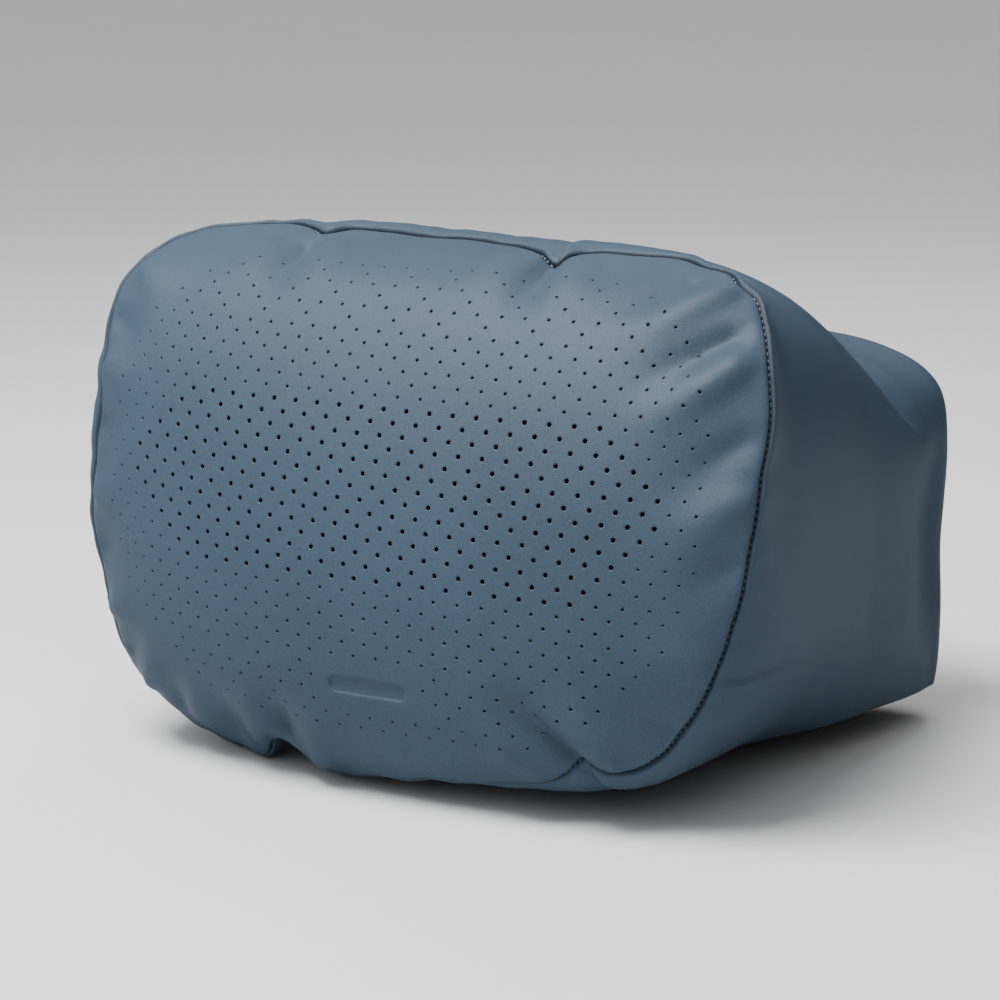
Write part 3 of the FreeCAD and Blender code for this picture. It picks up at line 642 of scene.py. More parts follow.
def slacken(points):
    """Gives the empty hood its sags, creases and dents (points from the face's middle)."""
    x, y, z = points.T
    behind = smooth_step((y - DIVIDER_Y) / 35.0)
    on_top = smooth_step((z - 20.0) / 40.0)
    moved = points.copy()
    valley = np.clip((y - DIVIDER_Y) / (REAR - DIVIDER_Y), 0, 1)
    moved[:, 2] -= SAG * np.sin(math.pi * valley) * on_top * bump(x, SAG_WIDTH)
    draw = bump(z + 45.0, 38.0) * smooth_step((y - 150.0) / 75.0)
    moved[:, 0] -= np.sign(x) * DRAW_IN * draw
    moved[:, 1] -= 3.0 * draw
    for fold in SLACK_FOLDS:
        moved = slack_fold(moved, *fold)
    wander = slow_noise(points * [0, 1, 0.35], 13.0, 4)
    band = smooth_step((8.0 - z) / 40.0) * smooth_step((z + 104.0) / 40.0)
    moved[:, 0] += np.sign(x) * band * (1.5 * bump(y - 219.0, 10.0) - 2.2 * bump(y - 204.0, 12.0))
    moved[:, 0] += np.sign(x) * 0.9 * wander * bump(y - 212.0, 12.0) * smooth_step((30.0 - z) / 30.0)
    soft = slow_noise(points, 42.0, 1)
    fine = slow_noise(points, 17.0, 2)
    direction = unit(np.stack([x, np.zeros_like(x), z - OUTLINE_MIDDLE], 1))
    return moved + direction * (behind * ((0.8 + 1.2 * on_top) * soft + 0.2 * fine))[:, None]


hood_grid = np.array(hood_rings())
hood_shape = hood_grid.shape
hood_grid = slacken(hood_grid.reshape(-1, 3)).reshape(hood_shape)
pillow_parts = (np.arange(PILLOW_ROWS) / (PILLOW_ROWS - 1))**1.7


GROOVE = 3.1
CROWN, CROWN_RUN = 2.4, 10.0
WRAP_ROLL = 1.9


def groove_vectors():
    """From each seam point to the bottom of the groove between face and wrap."""
    column = np.arange(LOOP)
    near = pillow_surface(column, np.full(LOOP, 0.10))
    along = np.roll(near, -1, 0) - np.roll(near, 1, 0)
    back = pillow_surface(column, np.full(LOOP, 0.14)) - near
    wrap_out = unit(np.cross(back, along))
    outward = np.stack([seam_normal[:, 0], column * 0, seam_normal[:, 1]], 1)
    wrap_out *= np.sign(np.sum(wrap_out * outward, 1))[:, None]
    both = face_normals(*loop_flat.T) + wrap_out
    for _ in range(3):
        both = (np.roll(both, 1, 0) + both + np.roll(both, -1, 0)) / 3
    return -GROOVE * unit(both)


groove = groove_vectors()


# ---------------------------------------------------------------- pieces

def mark_seam_shade(obj, amount):
    """Stores the painted seam shade: how deep each outer point lies in a seam, which darkens the leatherette
    there; the inner skin gets the same.
    """
    values = np.concatenate([amount, amount])
    layer = obj.data.attributes.new("crease", "FLOAT", "POINT")
    layer.data.foreach_set("value", values.astype(np.float32))


def place_piece(obj, slot, *nodes):
    """Rides the root, takes the material of its slot, and hides the CAD nodes it stands for."""
    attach(obj, "root")
    if nodes:
        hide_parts(*nodes)
    obj.data.materials.append(FINISH[slot])


def add_sheet(name, points, faces, thick, slot, *nodes, normals=None):
    """Closed sheet from points that are measured from the face's middle, placed as a piece."""
    obj = thick_sheet(name, points.reshape(-1, 3) + FACE_MIDDLE, faces, thick, normals)
    place_piece(obj, slot, *nodes)
    return obj


def sunk_badge(flat):
    """Depth of the plain badge pressed into the face."""
    u, v, half, radius = BADGE
    gap = np.maximum(np.abs(flat[:, 0] - u) - (half - radius), 0.0)
    edge = np.hypot(gap, flat[:, 1] - v) - radius
    return BADGE_DEPTH * smooth_step(0.5 - edge)


def face_shape():
    """Points and normals of the face's outer surface, and the painted seam shade: how much each point is
    darkened next to the seam.
    """
    points = face_point(layout_flat[:, 0], layout_flat[:, 1])
    normals = vertex_normals(points, layout_triangles)
    edge = distance_to_loop(layout_flat, loop_flat)
    rolled = np.where(edge < ROLL)[0]
    nearest = np.argmin(np.linalg.norm(layout_flat[rolled][:, None] - loop_flat[None], axis=2), 1)
    points += normals * (CROWN * (1 - np.exp(-edge / CROWN_RUN)))[:, None]
    points[rolled] += roll_amount(edge[rolled], ROLL)[:, None] * groove[nearest]
    points -= normals * sunk_badge(layout_flat)[:, None]
    return points, vertex_normals(points, layout_triangles), smooth_step((2.0 - edge) / 1.7)


def make_face():
    points, normals, crease = face_shape()
    obj = thick_sheet("face_leatherette", points, layout_triangles, FACE_SKIN, normals)
    # painted shade: the face's leatherette darkened down in the seam groove
    mark_seam_shade(obj, crease)
    place_piece(obj, "leatherette", "front_panel")


def make_wrap():
    """One strip of leatherette from the seam over sides and top to the rear lap."""
    front = pillow_surface(wrap_columns[None, :], pillow_parts[:, None])
    back = front[..., 1] - seam_face[wrap_columns, 1][None, :]
    front = front + roll_amount(back, WRAP_ROLL)[..., None] * groove[wrap_columns][None]
    grid = np.vstack([front, hood_grid[1:]])
    obj = add_sheet("wrap_leatherette", grid, grid_faces(*grid.shape[:2]), SKIN, "leatherette", "side_wrap")
    # painted shade: the wrap darkened in the last 1.5 mm before the seam groove
    crease = np.zeros(grid.shape[:2])
    crease[:len(back)] = smooth_step((1.5 - back) / 1.3)
    mark_seam_shade(obj, crease.ravel())


def rear_layout(edge, step=4.0):
    """Flat x, z points and triangles inside the rear edge, whose own points come first."""
    ahead = np.linspace(0, 1, 60)[1:-1, None]
    foot = edge[-1] * (1 - ahead) + edge[0] * ahead
    loop = np.vstack([edge, foot])
    out = ring_normals(loop)
    rings = [loop] + [loop[:len(edge)] - out[:len(edge)] * inset for inset in (0.7, 1.6, 2.8)]
    low, high = loop.min(0), loop.max(0)
    grid = np.array([(x, z) for x in np.arange(low[0] + step, high[0], step)
                     for z in np.arange(low[1] + 2.5, high[1], step)])
    near_edge = distance_to_loop(grid, edge) < 4.5
    grid = grid[inside_loop(grid, loop) & ~near_edge]
    flat, triangles = triangulate(np.vstack(rings + [grid]), len(loop))
    return flat, turn_triangles(flat, triangles, -1)


def rear_surface(edge_ring):
    """The slack rear panel, hung between the ends of the wrap (points from the face's middle)."""
    flat, triangles = rear_layout(edge_ring[:, [0, 2]])
    gap = np.linalg.norm(flat[:, None] - edge_ring[None, ::4][:, :, [0, 2]], axis=2)
    near = edge_ring[::4, 1][np.argmin(gap, 1)]
    edge = distance_to_loop(flat, edge_ring[:, [0, 2]][::2])
    fade = np.exp(-edge / 14.0)
    x, z = flat.T
    top = edge_ring[:, 2].max()
    down = (top - z) / (top - HEM)
    sag = 2.2 * np.sin(x / 17.0 + 1.5 * down) * smooth_step((0.5 - np.abs(down - 0.35)) / 0.4)
    swag = 2.6 * np.cos((z - top + 26 + (x / 95.0)**2 * 34) / 19.0) * bump(x, 105.0) * (1 - down)
    soft = 2.2 * slow_noise(np.stack([x, z, 0 * x], 1), 46.0, 5)
    y = near * fade + (REAR - 1.4 + np.minimum(sag * 0.5 + swag + soft - 2.0, 1.2)) * (1 - fade)
    y -= 1.5 * roll_amount(edge, ROLL)
    return np.stack([x, y, z], 1), triangles


def base_strip(in_front, rows=22):
    """Bottom strip of leatherette before or behind the zip, as a grid of rows from front to back."""
    columns = base_columns
    seam_y = seam_face[columns, 1]
    part = np.linspace(0.0, 1.0, rows)[:, None]
    middle_x = pillow_surface(columns, np.full(len(columns), 0.5))[:, 0]
    gap = 0.3 + (ZIP_GAP - 0.3) * smooth_step((ZIP_END - np.abs(middle_x)) / 7.0)
    if in_front:
        y = seam_y + (ZIP_Y - gap - seam_y) * part**1.25
    else:
        y = ZIP_Y + gap + (DIVIDER_Y - 1.5 - ZIP_Y - gap) * part
    back = (y - seam_y[None, :]) / (DIVIDER_Y - seam_y[None, :])
    points = pillow_surface(columns[None, :] + 0 * y.astype(int), back)
    points[..., 1] = y
    beside_zip = smooth_step((ZIP_GAP + 7.5 - np.abs(y - ZIP_Y)) / 7.0)
    rise = beside_zip * smooth_step((ZIP_END + 4 - np.abs(points[..., 0])) / 9)
    points[..., 2] += (TAPE_Z - SKIN - 0.3 - points[..., 2]) * rise
    if in_front:
        points += roll_amount(y - seam_y[None, :], ROLL)[..., None] * groove[columns][None]
    ends = np.minimum(np.arange(len(columns)), np.arange(len(columns))[::-1]) * 1.4
    points[..., 2] += 1.3 * roll_amount(ends, 4.0)[None, :]
    return points


ZIP_BOX = cad_box("zip_tape_front"), cad_box("zip_tape_rear")
ZIP_Y = (ZIP_BOX[0][1][1] + ZIP_BOX[1][0][1]) / 2 - FACE_MIDDLE[1]
TAPE_Z = ZIP_BOX[0][0][2] - FACE_MIDDLE[2]
ZIP_END = ZIP_BOX[0][1][0] + 3.6
ZIP_GAP = 6.0


def polar_faces(rings, columns):
    """Faces of closed rings that shrink to one last point."""
    faces = grid_faces(rings, columns, closed=True)
    last = (rings - 1) * columns
    faces += [(last + c, last + (c + 1) % columns, rings * columns) for c in range(columns)]
    return faces


def ring_stack(rings, centre):
    return np.vstack([np.asarray(rings).reshape(-1, 3), centre[None]])


INNER_STEP = 3
NOTCH_REACH = 3
LAYER_REACH = 0.955
CASE_ROWS, CASE_INSET = 18, 7.2
CASE_LOW, NOTCH_LIFT = 13.0, 14.0


def inner_face_rings(count=26, reach=1.0):
    """Face surface as rings of flat places from the seam in to the middle."""
    shrink = reach * (1 - np.arange(count) / count)
    flat = loop_flat[::INNER_STEP]
    if reach < 1.0:
        radius = np.linalg.norm(flat, axis=1)
        least = np.min(neighbours(radius, NOTCH_REACH), axis=0)
        flat = flat * (least / radius)[:, None]
    places = (flat[None] * shrink[:, None, None]).reshape(-1, 2)
    points = face_point(places[:, 0], places[:, 1]) - FACE_MIDDLE
    middle = (face_point(np.zeros(1), np.zeros(1)) - FACE_MIDDLE)[0]
    return points.reshape(count, -1, 3), middle


def shrink_past_notches(rings):
    """Rings drawn in to the smallest radius nearby, so that they stay inside the notches of the cover."""
    centre = np.array([0.0, OUTLINE_MIDDLE])
    spoke = rings[..., [0, 2]] - centre
    radius = np.linalg.norm(spoke, axis=-1)
    least = np.min(neighbours(radius, NOTCH_REACH, axis=1), axis=0)
    for _ in range(3):
        least = np.minimum(least, (np.roll(least, 1, 1) + least + np.roll(least, -1, 1)) / 3)
    drawn = rings.copy()
    drawn[..., [0, 2]] = centre + spoke * (least / np.maximum(radius, 1e-6))[..., None]
    return drawn


def closed_pillow(inset):
    """The stuffed part's whole surface, moved inwards."""
    face, middle = inner_face_rings(CASE_ROWS)
    columns = face.shape[1]
    parts = np.linspace(0, 1, CASE_ROWS)[1:]
    wrap_part = pillow_surface(np.arange(0, LOOP, INNER_STEP)[None, :], parts[:, None])
    wrap_part[..., 2] = np.maximum(wrap_part[..., 2], FLOOR + 1.5)
    last = wrap_part[-1]
    centre = np.array([0.0, DIVIDER_Y, OUTLINE_MIDDLE])
    back = [centre + (last - centre) * t for t in np.linspace(1, 0, 12)[1:-1]]
    rings = shrink_past_notches(np.concatenate([face[::-1], wrap_part, np.array(back)]))
    rows = len(rings)
    points = np.vstack([rings.reshape(-1, 3), middle[None], centre[None]])
    faces = grid_faces(rows, columns, closed=True)
    faces += [(c, rows * columns, (c + 1) % columns) for c in range(columns)]
    top = (rows - 1) * columns
    faces += [(top + c, top + (c + 1) % columns, rows * columns + 1) for c in range(columns)]
    normals = vertex_normals(points, faces)
    points = points - normals * inset
    low = FLOOR + CASE_LOW + NOTCH_LIFT * bump(points[:, 0] + 52.0, 20.0)
    points[:, 2] = np.maximum(points[:, 2], low)
    return points, faces, vertex_normals(points, faces)


TUBE_SIDES = 6


def tube_along(path, radius):
    """Points and faces of a capped tube along a path."""
    path = np.asarray(path, float)
    along = unit(np.gradient(path, axis=0))
    up = np.array([0.0, 0.0, 1.0]) if abs(along[0, 2]) < 0.8 else np.array([0.0, 1.0, 0.0])
    side = unit(np.cross(along, up))
    rise = np.cross(side, along)
    turn = np.linspace(0, 2 * math.pi, TUBE_SIDES, endpoint=False)[None, :, None]
    radius = np.broadcast_to(radius, (len(path),))[:, None, None]
    rings = path[:, None] + radius * (np.cos(turn) * side[:, None] + np.sin(turn) * rise[:, None])
    faces = [tuple(reversed(f)) for f in grid_faces(len(path), TUBE_SIDES, closed=True)]
    first = tuple(range(TUBE_SIDES))
    last = tuple(reversed(range((len(path) - 1) * TUBE_SIDES, len(path) * TUBE_SIDES)))
    return rings.reshape(-1, 3), faces + [first, last]


def join_parts(parts):
    """One point list and face list from several."""
    points, faces, count = [], [], 0
    for part_points, part_faces in parts:
        points.append(part_points)
        faces += [tuple(i + count for i in f) for f in part_faces]
        count += len(part_points)
    return np.vstack(points), faces


STITCH_PITCH, STITCH_LENGTH, STITCH_RADIUS = 2.7, 1.9, 0.36
STITCH_SINK = 0.62  # of the groove's depth
STITCH_ARCH = np.array([-0.30, 0.02, 0.16, 0.2, 0.16, 0.02, -0.30])
STITCH_TAPER = np.array([0.35, 0.85, 1, 1, 1, 0.85, 0.35])


def stitches(path, out, closed):
    """Short rounded threads laid along a path, sunk into it at both ends."""
    path = np.asarray(path)
    ring = np.vstack([path, path[:1]]) if closed else path
    outward = np.vstack([out, out[:1]]) if closed else out
    length = np.concatenate([[0.0], np.cumsum(np.linalg.norm(np.diff(ring, axis=0), axis=1))])
    count = int(length[-1] // STITCH_PITCH)
    parts = []
    for k in range(count):
        places = (k + 0.5) * length[-1] / count + np.linspace(-0.5, 0.5, 7) * STITCH_LENGTH
        middle, lift = (np.stack([np.interp(places, length, table[:, c]) for c in range(3)], 1)
                        for table in (ring, outward))
        parts.append(tube_along(middle + lift * STITCH_ARCH[:, None], STITCH_RADIUS * STITCH_TAPER))
    return join_parts(parts)


COIL_REACH, COIL_HALF_HEIGHT, COIL_PITCH, COIL_WIRE = 0.72, 0.48, 1.25, 0.26
COIL_SHIFT, COIL_STEPS = 0.25, 12


def coil_path(x0, x1, y, z, start):
    """Centre line of a zip coil: flattened turns along x."""
    turns = (x1 - x0) / COIL_PITCH
    t = np.linspace(0, turns, int(turns * COIL_STEPS))
    angle = 2 * math.pi * t + start
    return np.stack([x0 + COIL_PITCH * t, y + COIL_REACH * np.sin(angle),
                     z + COIL_HALF_HEIGHT * np.cos(angle)], 1)


# ---------------------------------------------------------------- materials

def tint(color, factor):
    return tuple(c * factor for c in color)


class Nodes:
    """A material's node tree, with short calls for building it."""

    def __init__(self, name, color, roughness, **inputs):
        self.material = bpy.data.materials.new(name)
        self.material.use_nodes = True
        self.tree = self.material.node_tree
        self.shader = self.tree.nodes["Principled BSDF"]
        self.shader.inputs["Base Color"].default_value = (*color, 1.0)
        self.shader.inputs["Roughness"].default_value = roughness
        for key, value in inputs.items():
            self.shader.inputs[key.replace("_", " ")].default_value = value
        self.place = self.tree.nodes.new("ShaderNodeTexCoord").outputs["Object"]

    def new(self, kind, links=None, **values):
        node = self.tree.nodes.new(kind)
        for key, value in values.items():
            if hasattr(node, key):
                setattr(node, key, value)
            else:
                node.inputs[key].default_value = value
        for key, source in (links or {}).items():
            self.tree.links.new(source, node.inputs[key])
        return node

    def noise(self, scale, detail=2.0, rough=0.5, place=None):
        node = self.new("ShaderNodeTexNoise", {"Vector": place or self.place}, Scale=scale, Detail=detail,
                        Roughness=rough)
        return node.outputs["Fac"]

    def cells(self, scale, feature="F1"):
        node = self.new("ShaderNodeTexVoronoi", {"Vector": self.place}, feature=feature, Scale=scale)
        return node.outputs["Distance"]

    def fill(self, sockets, values):
        """Sets or links each socket by its value: a number, a colour or another node's output."""
        for socket, value in zip(sockets, values):
            if isinstance(value, tuple):
                socket.default_value = (*value, 1.0)
            elif isinstance(value, (int, float)):
                socket.default_value = value
            else:
                self.tree.links.new(value, socket)

    def math(self, operation, a, b=0.0):
        node = self.new("ShaderNodeMath", operation=operation)
        self.fill(node.inputs, (a, b))
        return node.outputs[0]

    def times(self, a, b):
        return self.math("MULTIPLY", a, b)

    def sum(self, a, b):
        return self.math("ADD", a, b)

    def wave(self, value, turns):
        return self.math("SINE", self.times(value, turns))

    def split(self):
        return self.new("ShaderNodeSeparateXYZ", {"Vector": self.place}).outputs

    def ramp(self, value, low, high, to_low=0.0, to_high=1.0):
        node = self.new("ShaderNodeMapRange", {"Value": value})
        for key, number in (("From Min", low), ("From Max", high), ("To Min", to_low), ("To Max", to_high)):
            node.inputs[key].default_value = number
        return node.outputs["Result"]

    def mix(self, factor, a, b):
        node = self.new("ShaderNodeMix", data_type="RGBA")
        self.fill((node.inputs[0], node.inputs[6], node.inputs[7]), (factor, a, b))
        return node.outputs[2]

    def bump(self, height, strength, distance):
        node = self.new("ShaderNodeBump", {"Height": height}, Strength=strength, Distance=distance)
        self.tree.links.new(node.outputs["Normal"], self.shader.inputs["Normal"])

    def color(self, source):
        self.tree.links.new(source, self.shader.inputs["Base Color"])

    def roughness(self, source):
        self.tree.links.new(source, self.shader.inputs["Roughness"])


LEATHER = (0.037, 0.059, 0.086)


def leatherette():
    """Blue-grey satin leatherette: fine pebbled grain, faint mottling, and painted shade that darkens it
    down in the seams.
    """
    n = Nodes("leatherette", LEATHER, 0.45, Specular_IOR_Level=0.05)
    # stored amount of painted seam shade
    seam = n.new("ShaderNodeAttribute", attribute_name="crease").outputs["Fac"]
    mottle = n.noise(14.0, 3.0)
    fine = n.noise(1500.0, 3.0, 0.6)
    pores = n.noise(520.0, 2.0)
    crease = n.ramp(n.cells(1250.0, "DISTANCE_TO_EDGE"), 0.0, 0.2)
    tone = n.mix(n.ramp(mottle, 0.35, 0.65), tint(LEATHER, 0.94), tint(LEATHER, 1.06))
    tone = n.mix(n.times(n.math("SUBTRACT", 1.0, crease), 0.30), tone, tint(LEATHER, 0.5))
    tone = n.mix(n.ramp(fine, 0.42, 0.75, 0.0, 0.16), tone, tint(LEATHER, 2.2))
    # painted shade: darker down in the seam groove, by the stored crease amount
    n.color(n.mix(n.ramp(seam, 0.25, 1.0, 0.0, 0.85), tone, tint(LEATHER, 0.12)))
    blend = n.sum(n.times(mottle, 0.4), n.times(fine, 0.6))
    n.roughness(n.ramp(blend, 0.3, 0.7, 0.40, 0.56))
    height = n.sum(n.times(crease, 0.6), n.times(fine, 0.5))
    n.bump(n.sum(height, n.times(pores, 0.5)), 0.5, 0.00016)
    return n.material


def woven(name, color, pitch, strength=0.5, roughness=0.85):
    """Plain cloth: two crossing sets of threads with uneven yarn."""
    n = Nodes(name, color, roughness, Sheen_Weight=0.25)
    split = n.split()
    turns = 2 * math.pi / pitch
    warp = n.wave(n.sum(split["X"], split["Y"]), turns)
    weft = n.wave(n.sum(split["Z"], split["Y"]), turns)
    uneven = n.noise(1.0 / (pitch * 9), 2.0)
    height = n.sum(n.times(n.times(warp, weft), 0.5), uneven)
    n.color(n.mix(n.ramp(height, -0.1, 1.1), tint(color, 0.5), tint(color, 1.2)))
    n.bump(height, strength, pitch * 0.25)
    return n.material


def air_mesh():
    """Black spacer mesh: small open cells between thicker yarns."""
    n = Nodes("air_mesh", (0.012, 0.013, 0.014), 0.8)
    open_part = n.ramp(n.cells(620.0), 0.15, 0.5)
    n.color(n.mix(open_part, (0.004, 0.004, 0.005), (0.02, 0.022, 0.024)))
    n.bump(n.sum(open_part, n.times(n.noise(2500.0), 0.2)), 0.7, 0.0004)
    return n.material


def fluff(name, color, scale):
    """Loose fibres: long soft noise with darker gaps."""
    n = Nodes(name, color, 0.95, Sheen_Weight=0.4)
    stretched = n.new("ShaderNodeMapping", {"Vector": n.place}, Scale=(1.0, 3.0, 1.6))
    fibre = n.noise(scale, 6.0, 0.65, stretched.outputs["Vector"])
    n.color(n.mix(n.ramp(fibre, 0.3, 0.7), tint(color, 0.72), color))
    n.bump(fibre, 0.6, 0.0015)
    return n.material


def plastic(name, color, roughness):
    """Drawn nylon with a faint drawn texture."""
    n = Nodes(name, color, roughness)
    fine = n.noise(1500.0, 2.0)
    n.color(n.mix(fine, tint(color, 0.8), tint(color, 1.15)))
    n.roughness(n.ramp(fine, 0.3, 0.7, roughness - 0.06, roughness + 0.08))
    n.bump(fine, 0.12, 0.00008)
    return n.material


def enamel():
    """Painted die-cast metal, rubbed brighter in small patches."""
    color = (0.03, 0.055, 0.08)
    n = Nodes("enamel", color, 0.32, Metallic=0.35, Coat_Weight=0.25)
    wear = n.noise(420.0, 4.0, 0.6)
    n.color(n.mix(n.ramp(wear, 0.62, 0.72), color, (0.16, 0.19, 0.21)))
    n.roughness(n.ramp(wear, 0.3, 0.7, 0.26, 0.42))
    n.bump(n.noise(2600.0), 0.1, 0.00005)
    return n.material


def satin():
    """White woven satin ribbon with fine cross ribs."""
    color = (0.78, 0.78, 0.76)
    n = Nodes("satin", color, 0.38, Anisotropic=0.5)
    rib = n.wave(n.split()["Z"], 2 * math.pi / 0.0006)
    n.color(n.mix(n.ramp(rib, -1, 1), tint(color, 0.88), color))
    n.bump(rib, 0.3, 0.00006)
    return n.material


def yarn(name, color):
    """Twisted sewing thread."""
    n = Nodes(name, color, 0.55)
    ply = n.noise(2200.0, 3.0, 0.7)
    n.color(n.mix(ply, tint(color, 0.55), tint(color, 1.3)))
    n.bump(ply, 0.5, 0.00012)
    return n.material


def matt(name, level, spread, scale):
    """Plain matt grey, faintly uneven."""
    n = Nodes(name, (level,) * 3, 0.9)
    n.color(n.mix(n.noise(scale), (level - spread,) * 3, (level + spread,) * 3))
    return n.material


FINISH = {
    "leatherette": leatherette(),
    "mesh": air_mesh(),
    "wadding": fluff("wadding_fibre", (0.72, 0.72, 0.69), 420.0),
    "case_cloth": woven("case_cloth", (0.62, 0.62, 0.60), 0.0007),
    "fibre": fluff("core_fibre", (0.80, 0.80, 0.78), 260.0),
    "divider_knit": woven("divider_knit", (0.030, 0.036, 0.044), 0.0011, 0.6),
    "lining": woven("lining_cloth", (0.035, 0.045, 0.056), 0.0006, 0.4, 0.7),
    "zip_tape": woven("zip_tape_cloth", (0.030, 0.052, 0.075), 0.0008, 0.6),
    "zip_coil": plastic("coil_nylon", (0.028, 0.048, 0.070), 0.4),
    "zip_metal": enamel(),
    "label_satin": satin(),
    "thread": yarn("seam_thread", (0.026, 0.045, 0.066)),
}

# ---------------------------------------------------------------- studio

# found by fitting the camera and the face to the lattice of perforations
CAMERA_FROM_FACE = Vector((522.2, -859.0, 217.2))
VIEW_AZIMUTH, VIEW_ELEVATION = math.radians(28.574), math.radians(12.314)
LENS, SENSOR = 97.2, 36.0


def add_camera():
    """Camera at the height, distance and angle from which the pillow is seen."""
    data = bpy.data.cameras.new("camera")
    data.sensor_width, data.lens, data.clip_start = SENSOR, LENS, 0.01
    camera = add_object("camera", data)
    level = math.cos(VIEW_ELEVATION)
    forward = Vector((-math.sin(VIEW_AZIMUTH) * level, math.cos(VIEW_AZIMUTH) * level,
                      -math.sin(VIEW_ELEVATION)))
    camera.rotation_euler = forward.to_track_quat("-Z", "Y").to_euler()
    camera.location = (CAMERA_FROM_FACE + Vector(FACE_MIDDLE)) * MM
    bpy.context.scene.camera = camera


# place (m), size (m) and power (W) of each light; all point at the object's middle
LIGHTS = {
    "key": ((-0.26, -0.52, 1.38), (0.8, 0.6), 46.0),
    "rim": ((-0.05, 1.00, 1.30), (0.6, 0.6), 6.0),
    "sheen": ((-0.34, -0.88, 1.40), (0.7, 0.4), 190.0),
}
AIM = Vector((0.0, 0.0, 0.1))


def add_light(name, place, size, power):
    data = bpy.data.lights.new(name, "AREA")
    data.shape = "RECTANGLE"
    data.size, data.size_y = size
    data.energy = power
    light = add_object(name, data)
    light.location = place
    light.rotation_euler = (AIM - Vector(place)).to_track_quat("-Z", "Y").to_euler()
    return light


LIGHT_FROM = (-0.32, -0.40, 0.86)
SHADE, GLOW, BACKGROUND = 0.02, 1.45, 0.75


def add_world():
    """Soft light from overhead on the left that fades away from it; plain pale where the camera sees it."""
    world = bpy.data.worlds.new("studio")
    world.use_nodes = True
    tree = world.node_tree
    background = tree.nodes["Background"]
    background.inputs["Color"].default_value = (1.0, 1.0, 1.0, 1.0)
    direction = tree.nodes.new("ShaderNodeTexCoord")
    toward = tree.nodes.new("ShaderNodeVectorMath")
    toward.operation = "DOT_PRODUCT"
    toward.inputs[1].default_value = LIGHT_FROM
    level = tree.nodes.new("ShaderNodeMapRange")
    ray = tree.nodes.new("ShaderNodeLightPath")
    choose = tree.nodes.new("ShaderNodeMix")
    for key, value in (("From Min", 0.1), ("From Max", 1.0), ("To Min", SHADE), ("To Max", GLOW)):
        level.inputs[key].default_value = value
    choose.inputs[3].default_value = BACKGROUND
    tree.links.new(direction.outputs["Generated"], toward.inputs[0])
    tree.links.new(toward.outputs["Value"], level.inputs["Value"])
    tree.links.new(ray.outputs["Is Camera Ray"], choose.inputs[0])
    tree.links.new(level.outputs["Result"], choose.inputs[2])
    tree.links.new(choose.outputs[0], background.inputs["Strength"])
    bpy.context.scene.world = world


def add_card(name, corners, material):
    """Flat four-cornered piece of the studio."""
    mesh = bpy.data.meshes.new(name)
    mesh.from_pydata(corners, [], [(0, 1, 2, 3)])
    mesh.materials.append(material)
    card = add_object(name, mesh)
    return card


FLOOR_REACH = 40.0
FLAG_LEFT, FLAG_RIGHT = (0.20, 0.85), (1.20, 0.42)
FLAG_FOOT, FLAG_TOP = 0.02, 0.9


def add_studio():
    """Soft lights, a pale floor, and a dark card behind on the right that only reflections see."""
    add_world()
    lights = {name: add_light(name, *values) for name, values in LIGHTS.items()}
    lights["sheen"].visible_diffuse = False
    r = FLOOR_REACH
    add_card("floor", [(-r, -r, 0), (r, -r, 0), (r, r, 0), (-r, r, 0)], matt("ground", 0.62, 0.01, 3.0))
    corners = [(*FLAG_LEFT, FLAG_FOOT), (*FLAG_RIGHT, FLAG_FOOT),
               (*FLAG_RIGHT, FLAG_TOP), (*FLAG_LEFT, FLAG_TOP)]
    flag = add_card("flag", corners, matt("flag", 0.02, 0.005, 8.0))
    flag.visible_camera = flag.visible_diffuse = flag.visible_shadow = False


# ---------------------------------------------------------------- the rest of the pieces

def make_rear():
    points, triangles = rear_surface(hood_grid[-1])
    add_sheet("rear_leatherette", points, triangles, SKIN, "leatherette", "rear_panel")


def make_base():
    for place in ("front", "rear"):
        grid = base_strip(place == "front")
        add_sheet("base_leatherette_" + place, grid, grid_faces(*grid.shape[:2]), SKIN, "leatherette",
                  "base_strip_" + place)


def make_divider():
    """Knit wall between pillow and pocket, pushed back a little by the stuffing."""
    ring = divider_ring[::2]
    centre = np.array([0.0, DIVIDER_Y, OUTLINE_MIDDLE])
    scale = np.linspace(1, 0, 40)[:-1]
    edge = ring - unit(ring - centre) * (SKIN + 0.5)
    rings = np.array([centre + (edge - centre) * t for t in scale])
    puff = 4.2 * (1 - scale**2)**0.8
    rings[..., 1] += puff[:, None] - 1.2
    points = ring_stack(rings, centre + [0, 3.0, 0])
    points[:, 1] += 0.8 * slow_noise(points, 30.0, 8)
    faces = polar_faces(len(scale), len(ring))
    add_sheet("divider_knit", points, faces, 1.0, "divider_knit", "divider_panel")


FACING_COLUMNS = 18
LINING_GAP, FACING_GAP = 0.15, 0.6


def offset_grid(grid, inset):
    """A grid of points moved inwards along its normals."""
    rows, columns = grid.shape[:2]
    points = grid.reshape(-1, 3)
    normals = vertex_normals(points, grid_faces(rows, columns))
    return (points - normals * inset).reshape(grid.shape)


def make_lining():
    """Pocket lining: the hood's surface again, just inside it, with its own rear wall."""
    around = offset_grid(hood_grid, SKIN + LINING_GAP)[2:, ::2]
    rear, triangles = rear_surface(hood_grid[-1][::2])
    rear = rear - vertex_normals(rear, triangles) * (SKIN + LINING_GAP)
    points, faces = join_parts([(around.reshape(-1, 3), grid_faces(*around.shape[:2])), (rear, triangles)])
    add_sheet("pocket_lining_cloth", points, faces, 0.35, "lining", "pocket_lining")


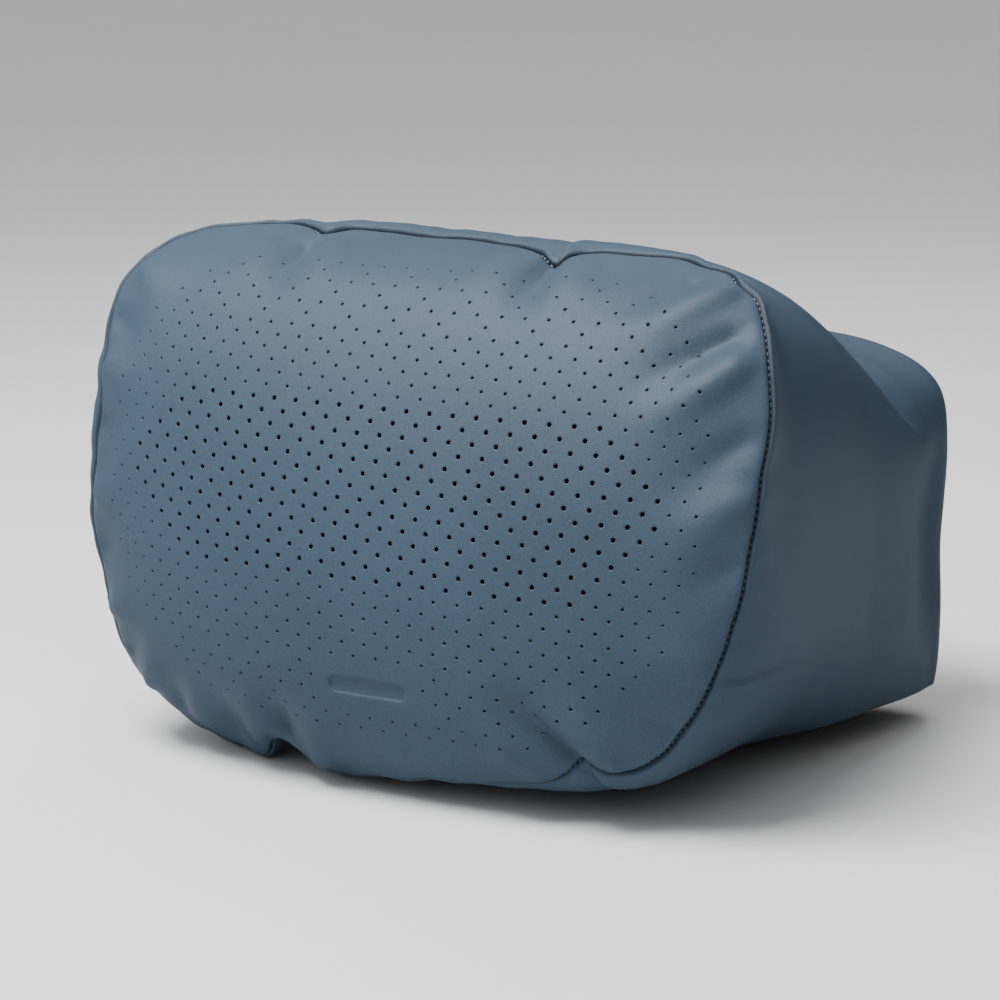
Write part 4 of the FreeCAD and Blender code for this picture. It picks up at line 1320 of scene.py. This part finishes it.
def make_facing():
    """Leatherette bands turned up inside the mouth on the left and right."""
    grid = offset_grid(hood_grid, SKIN + FACING_GAP)[3:]
    ends = grid[:, :FACING_COLUMNS], grid[:, -FACING_COLUMNS:]
    points, faces = join_parts([(end.reshape(-1, 3), grid_faces(*end.shape[:2])) for end in ends])
    add_sheet("hem_facing_band", points, faces, 0.9, "leatherette", "hem_facing")


# piece, slot, CAD node, distance under the face's surface, thickness
INNER_LAYERS = (("air_mesh_backing", "mesh", "front_mesh", 1.5, 0.5),
                ("face_wadding", "wadding", "front_wadding", 2.1, 4.6))


def make_inner_layers():
    face_rings, middle = inner_face_rings(reach=LAYER_REACH)
    faces = polar_faces(len(face_rings), face_rings.shape[1])
    points = ring_stack(face_rings, middle)
    normals = -vertex_normals(points, faces)
    faces = [tuple(reversed(f)) for f in faces]
    for name, slot, node, inset, thick in INNER_LAYERS:
        add_sheet(name, points - normals * inset, faces, thick, slot, node, normals=normals)
    points, faces, normals = closed_pillow(CASE_INSET)
    add_sheet("inner_case_bag", points, faces, 0.5, "case_cloth", "inner_case", normals=normals)
    fibre = make_object("fibre_filling", points - normals * 1.0 + FACE_MIDDLE, faces)
    place_piece(fibre, "fibre", "fibre_core")


def make_stitches():
    """Thread that shows as small nicks in the groove round the face and on the rear seam."""
    bottom = loop_point - FACE_MIDDLE + groove * STITCH_SINK
    rear = hood_grid[-1] + [0, -0.9, 0]
    back = np.tile([0.0, 1.0, 0.0], (len(rear), 1))
    for name, path, out, closed in (("face_seam_thread", bottom, -groove / GROOVE, True),
                                    ("rear_seam_thread", rear, back, False)):
        points, faces = stitches(path, out, closed)
        place_piece(make_object(name, points + FACE_MIDDLE, faces), "thread")


def make_zip_coils():
    for place, side, start in (("front", 1, 0.0), ("rear", -1, math.pi)):
        low, high = cad_box("zip_coil_" + place)
        _, y, z = (low + high) / 2
        path = coil_path(low[0], high[0], y + side * COIL_SHIFT, z, start)
        helix = make_object("zip_helix_" + place, *tube_along(path, COIL_WIRE))
        place_piece(helix, "zip_coil", "zip_coil_" + place)


CAD_FINISH = {
    "zip_tape": ("zip_tape_front", "zip_tape_rear"),
    "zip_metal": ("zip_closed_stop", "zip_open_stop", "zip_slider", "zip_pull_tab"),
    "label_satin": ("care_label",),
}


def finish_cad_nodes():
    """Materials on the CAD nodes whose own shape stays."""
    for slot, nodes in CAD_FINISH.items():
        for node in nodes:
            materials = bpy.data.objects[node].data.materials
            materials.clear()
            materials.append(FINISH[slot])


make_face()
make_wrap()
make_rear()
make_base()
make_divider()
make_lining()
make_facing()
make_inner_layers()
make_stitches()
make_zip_coils()
finish_cad_nodes()
add_camera()
add_studio()
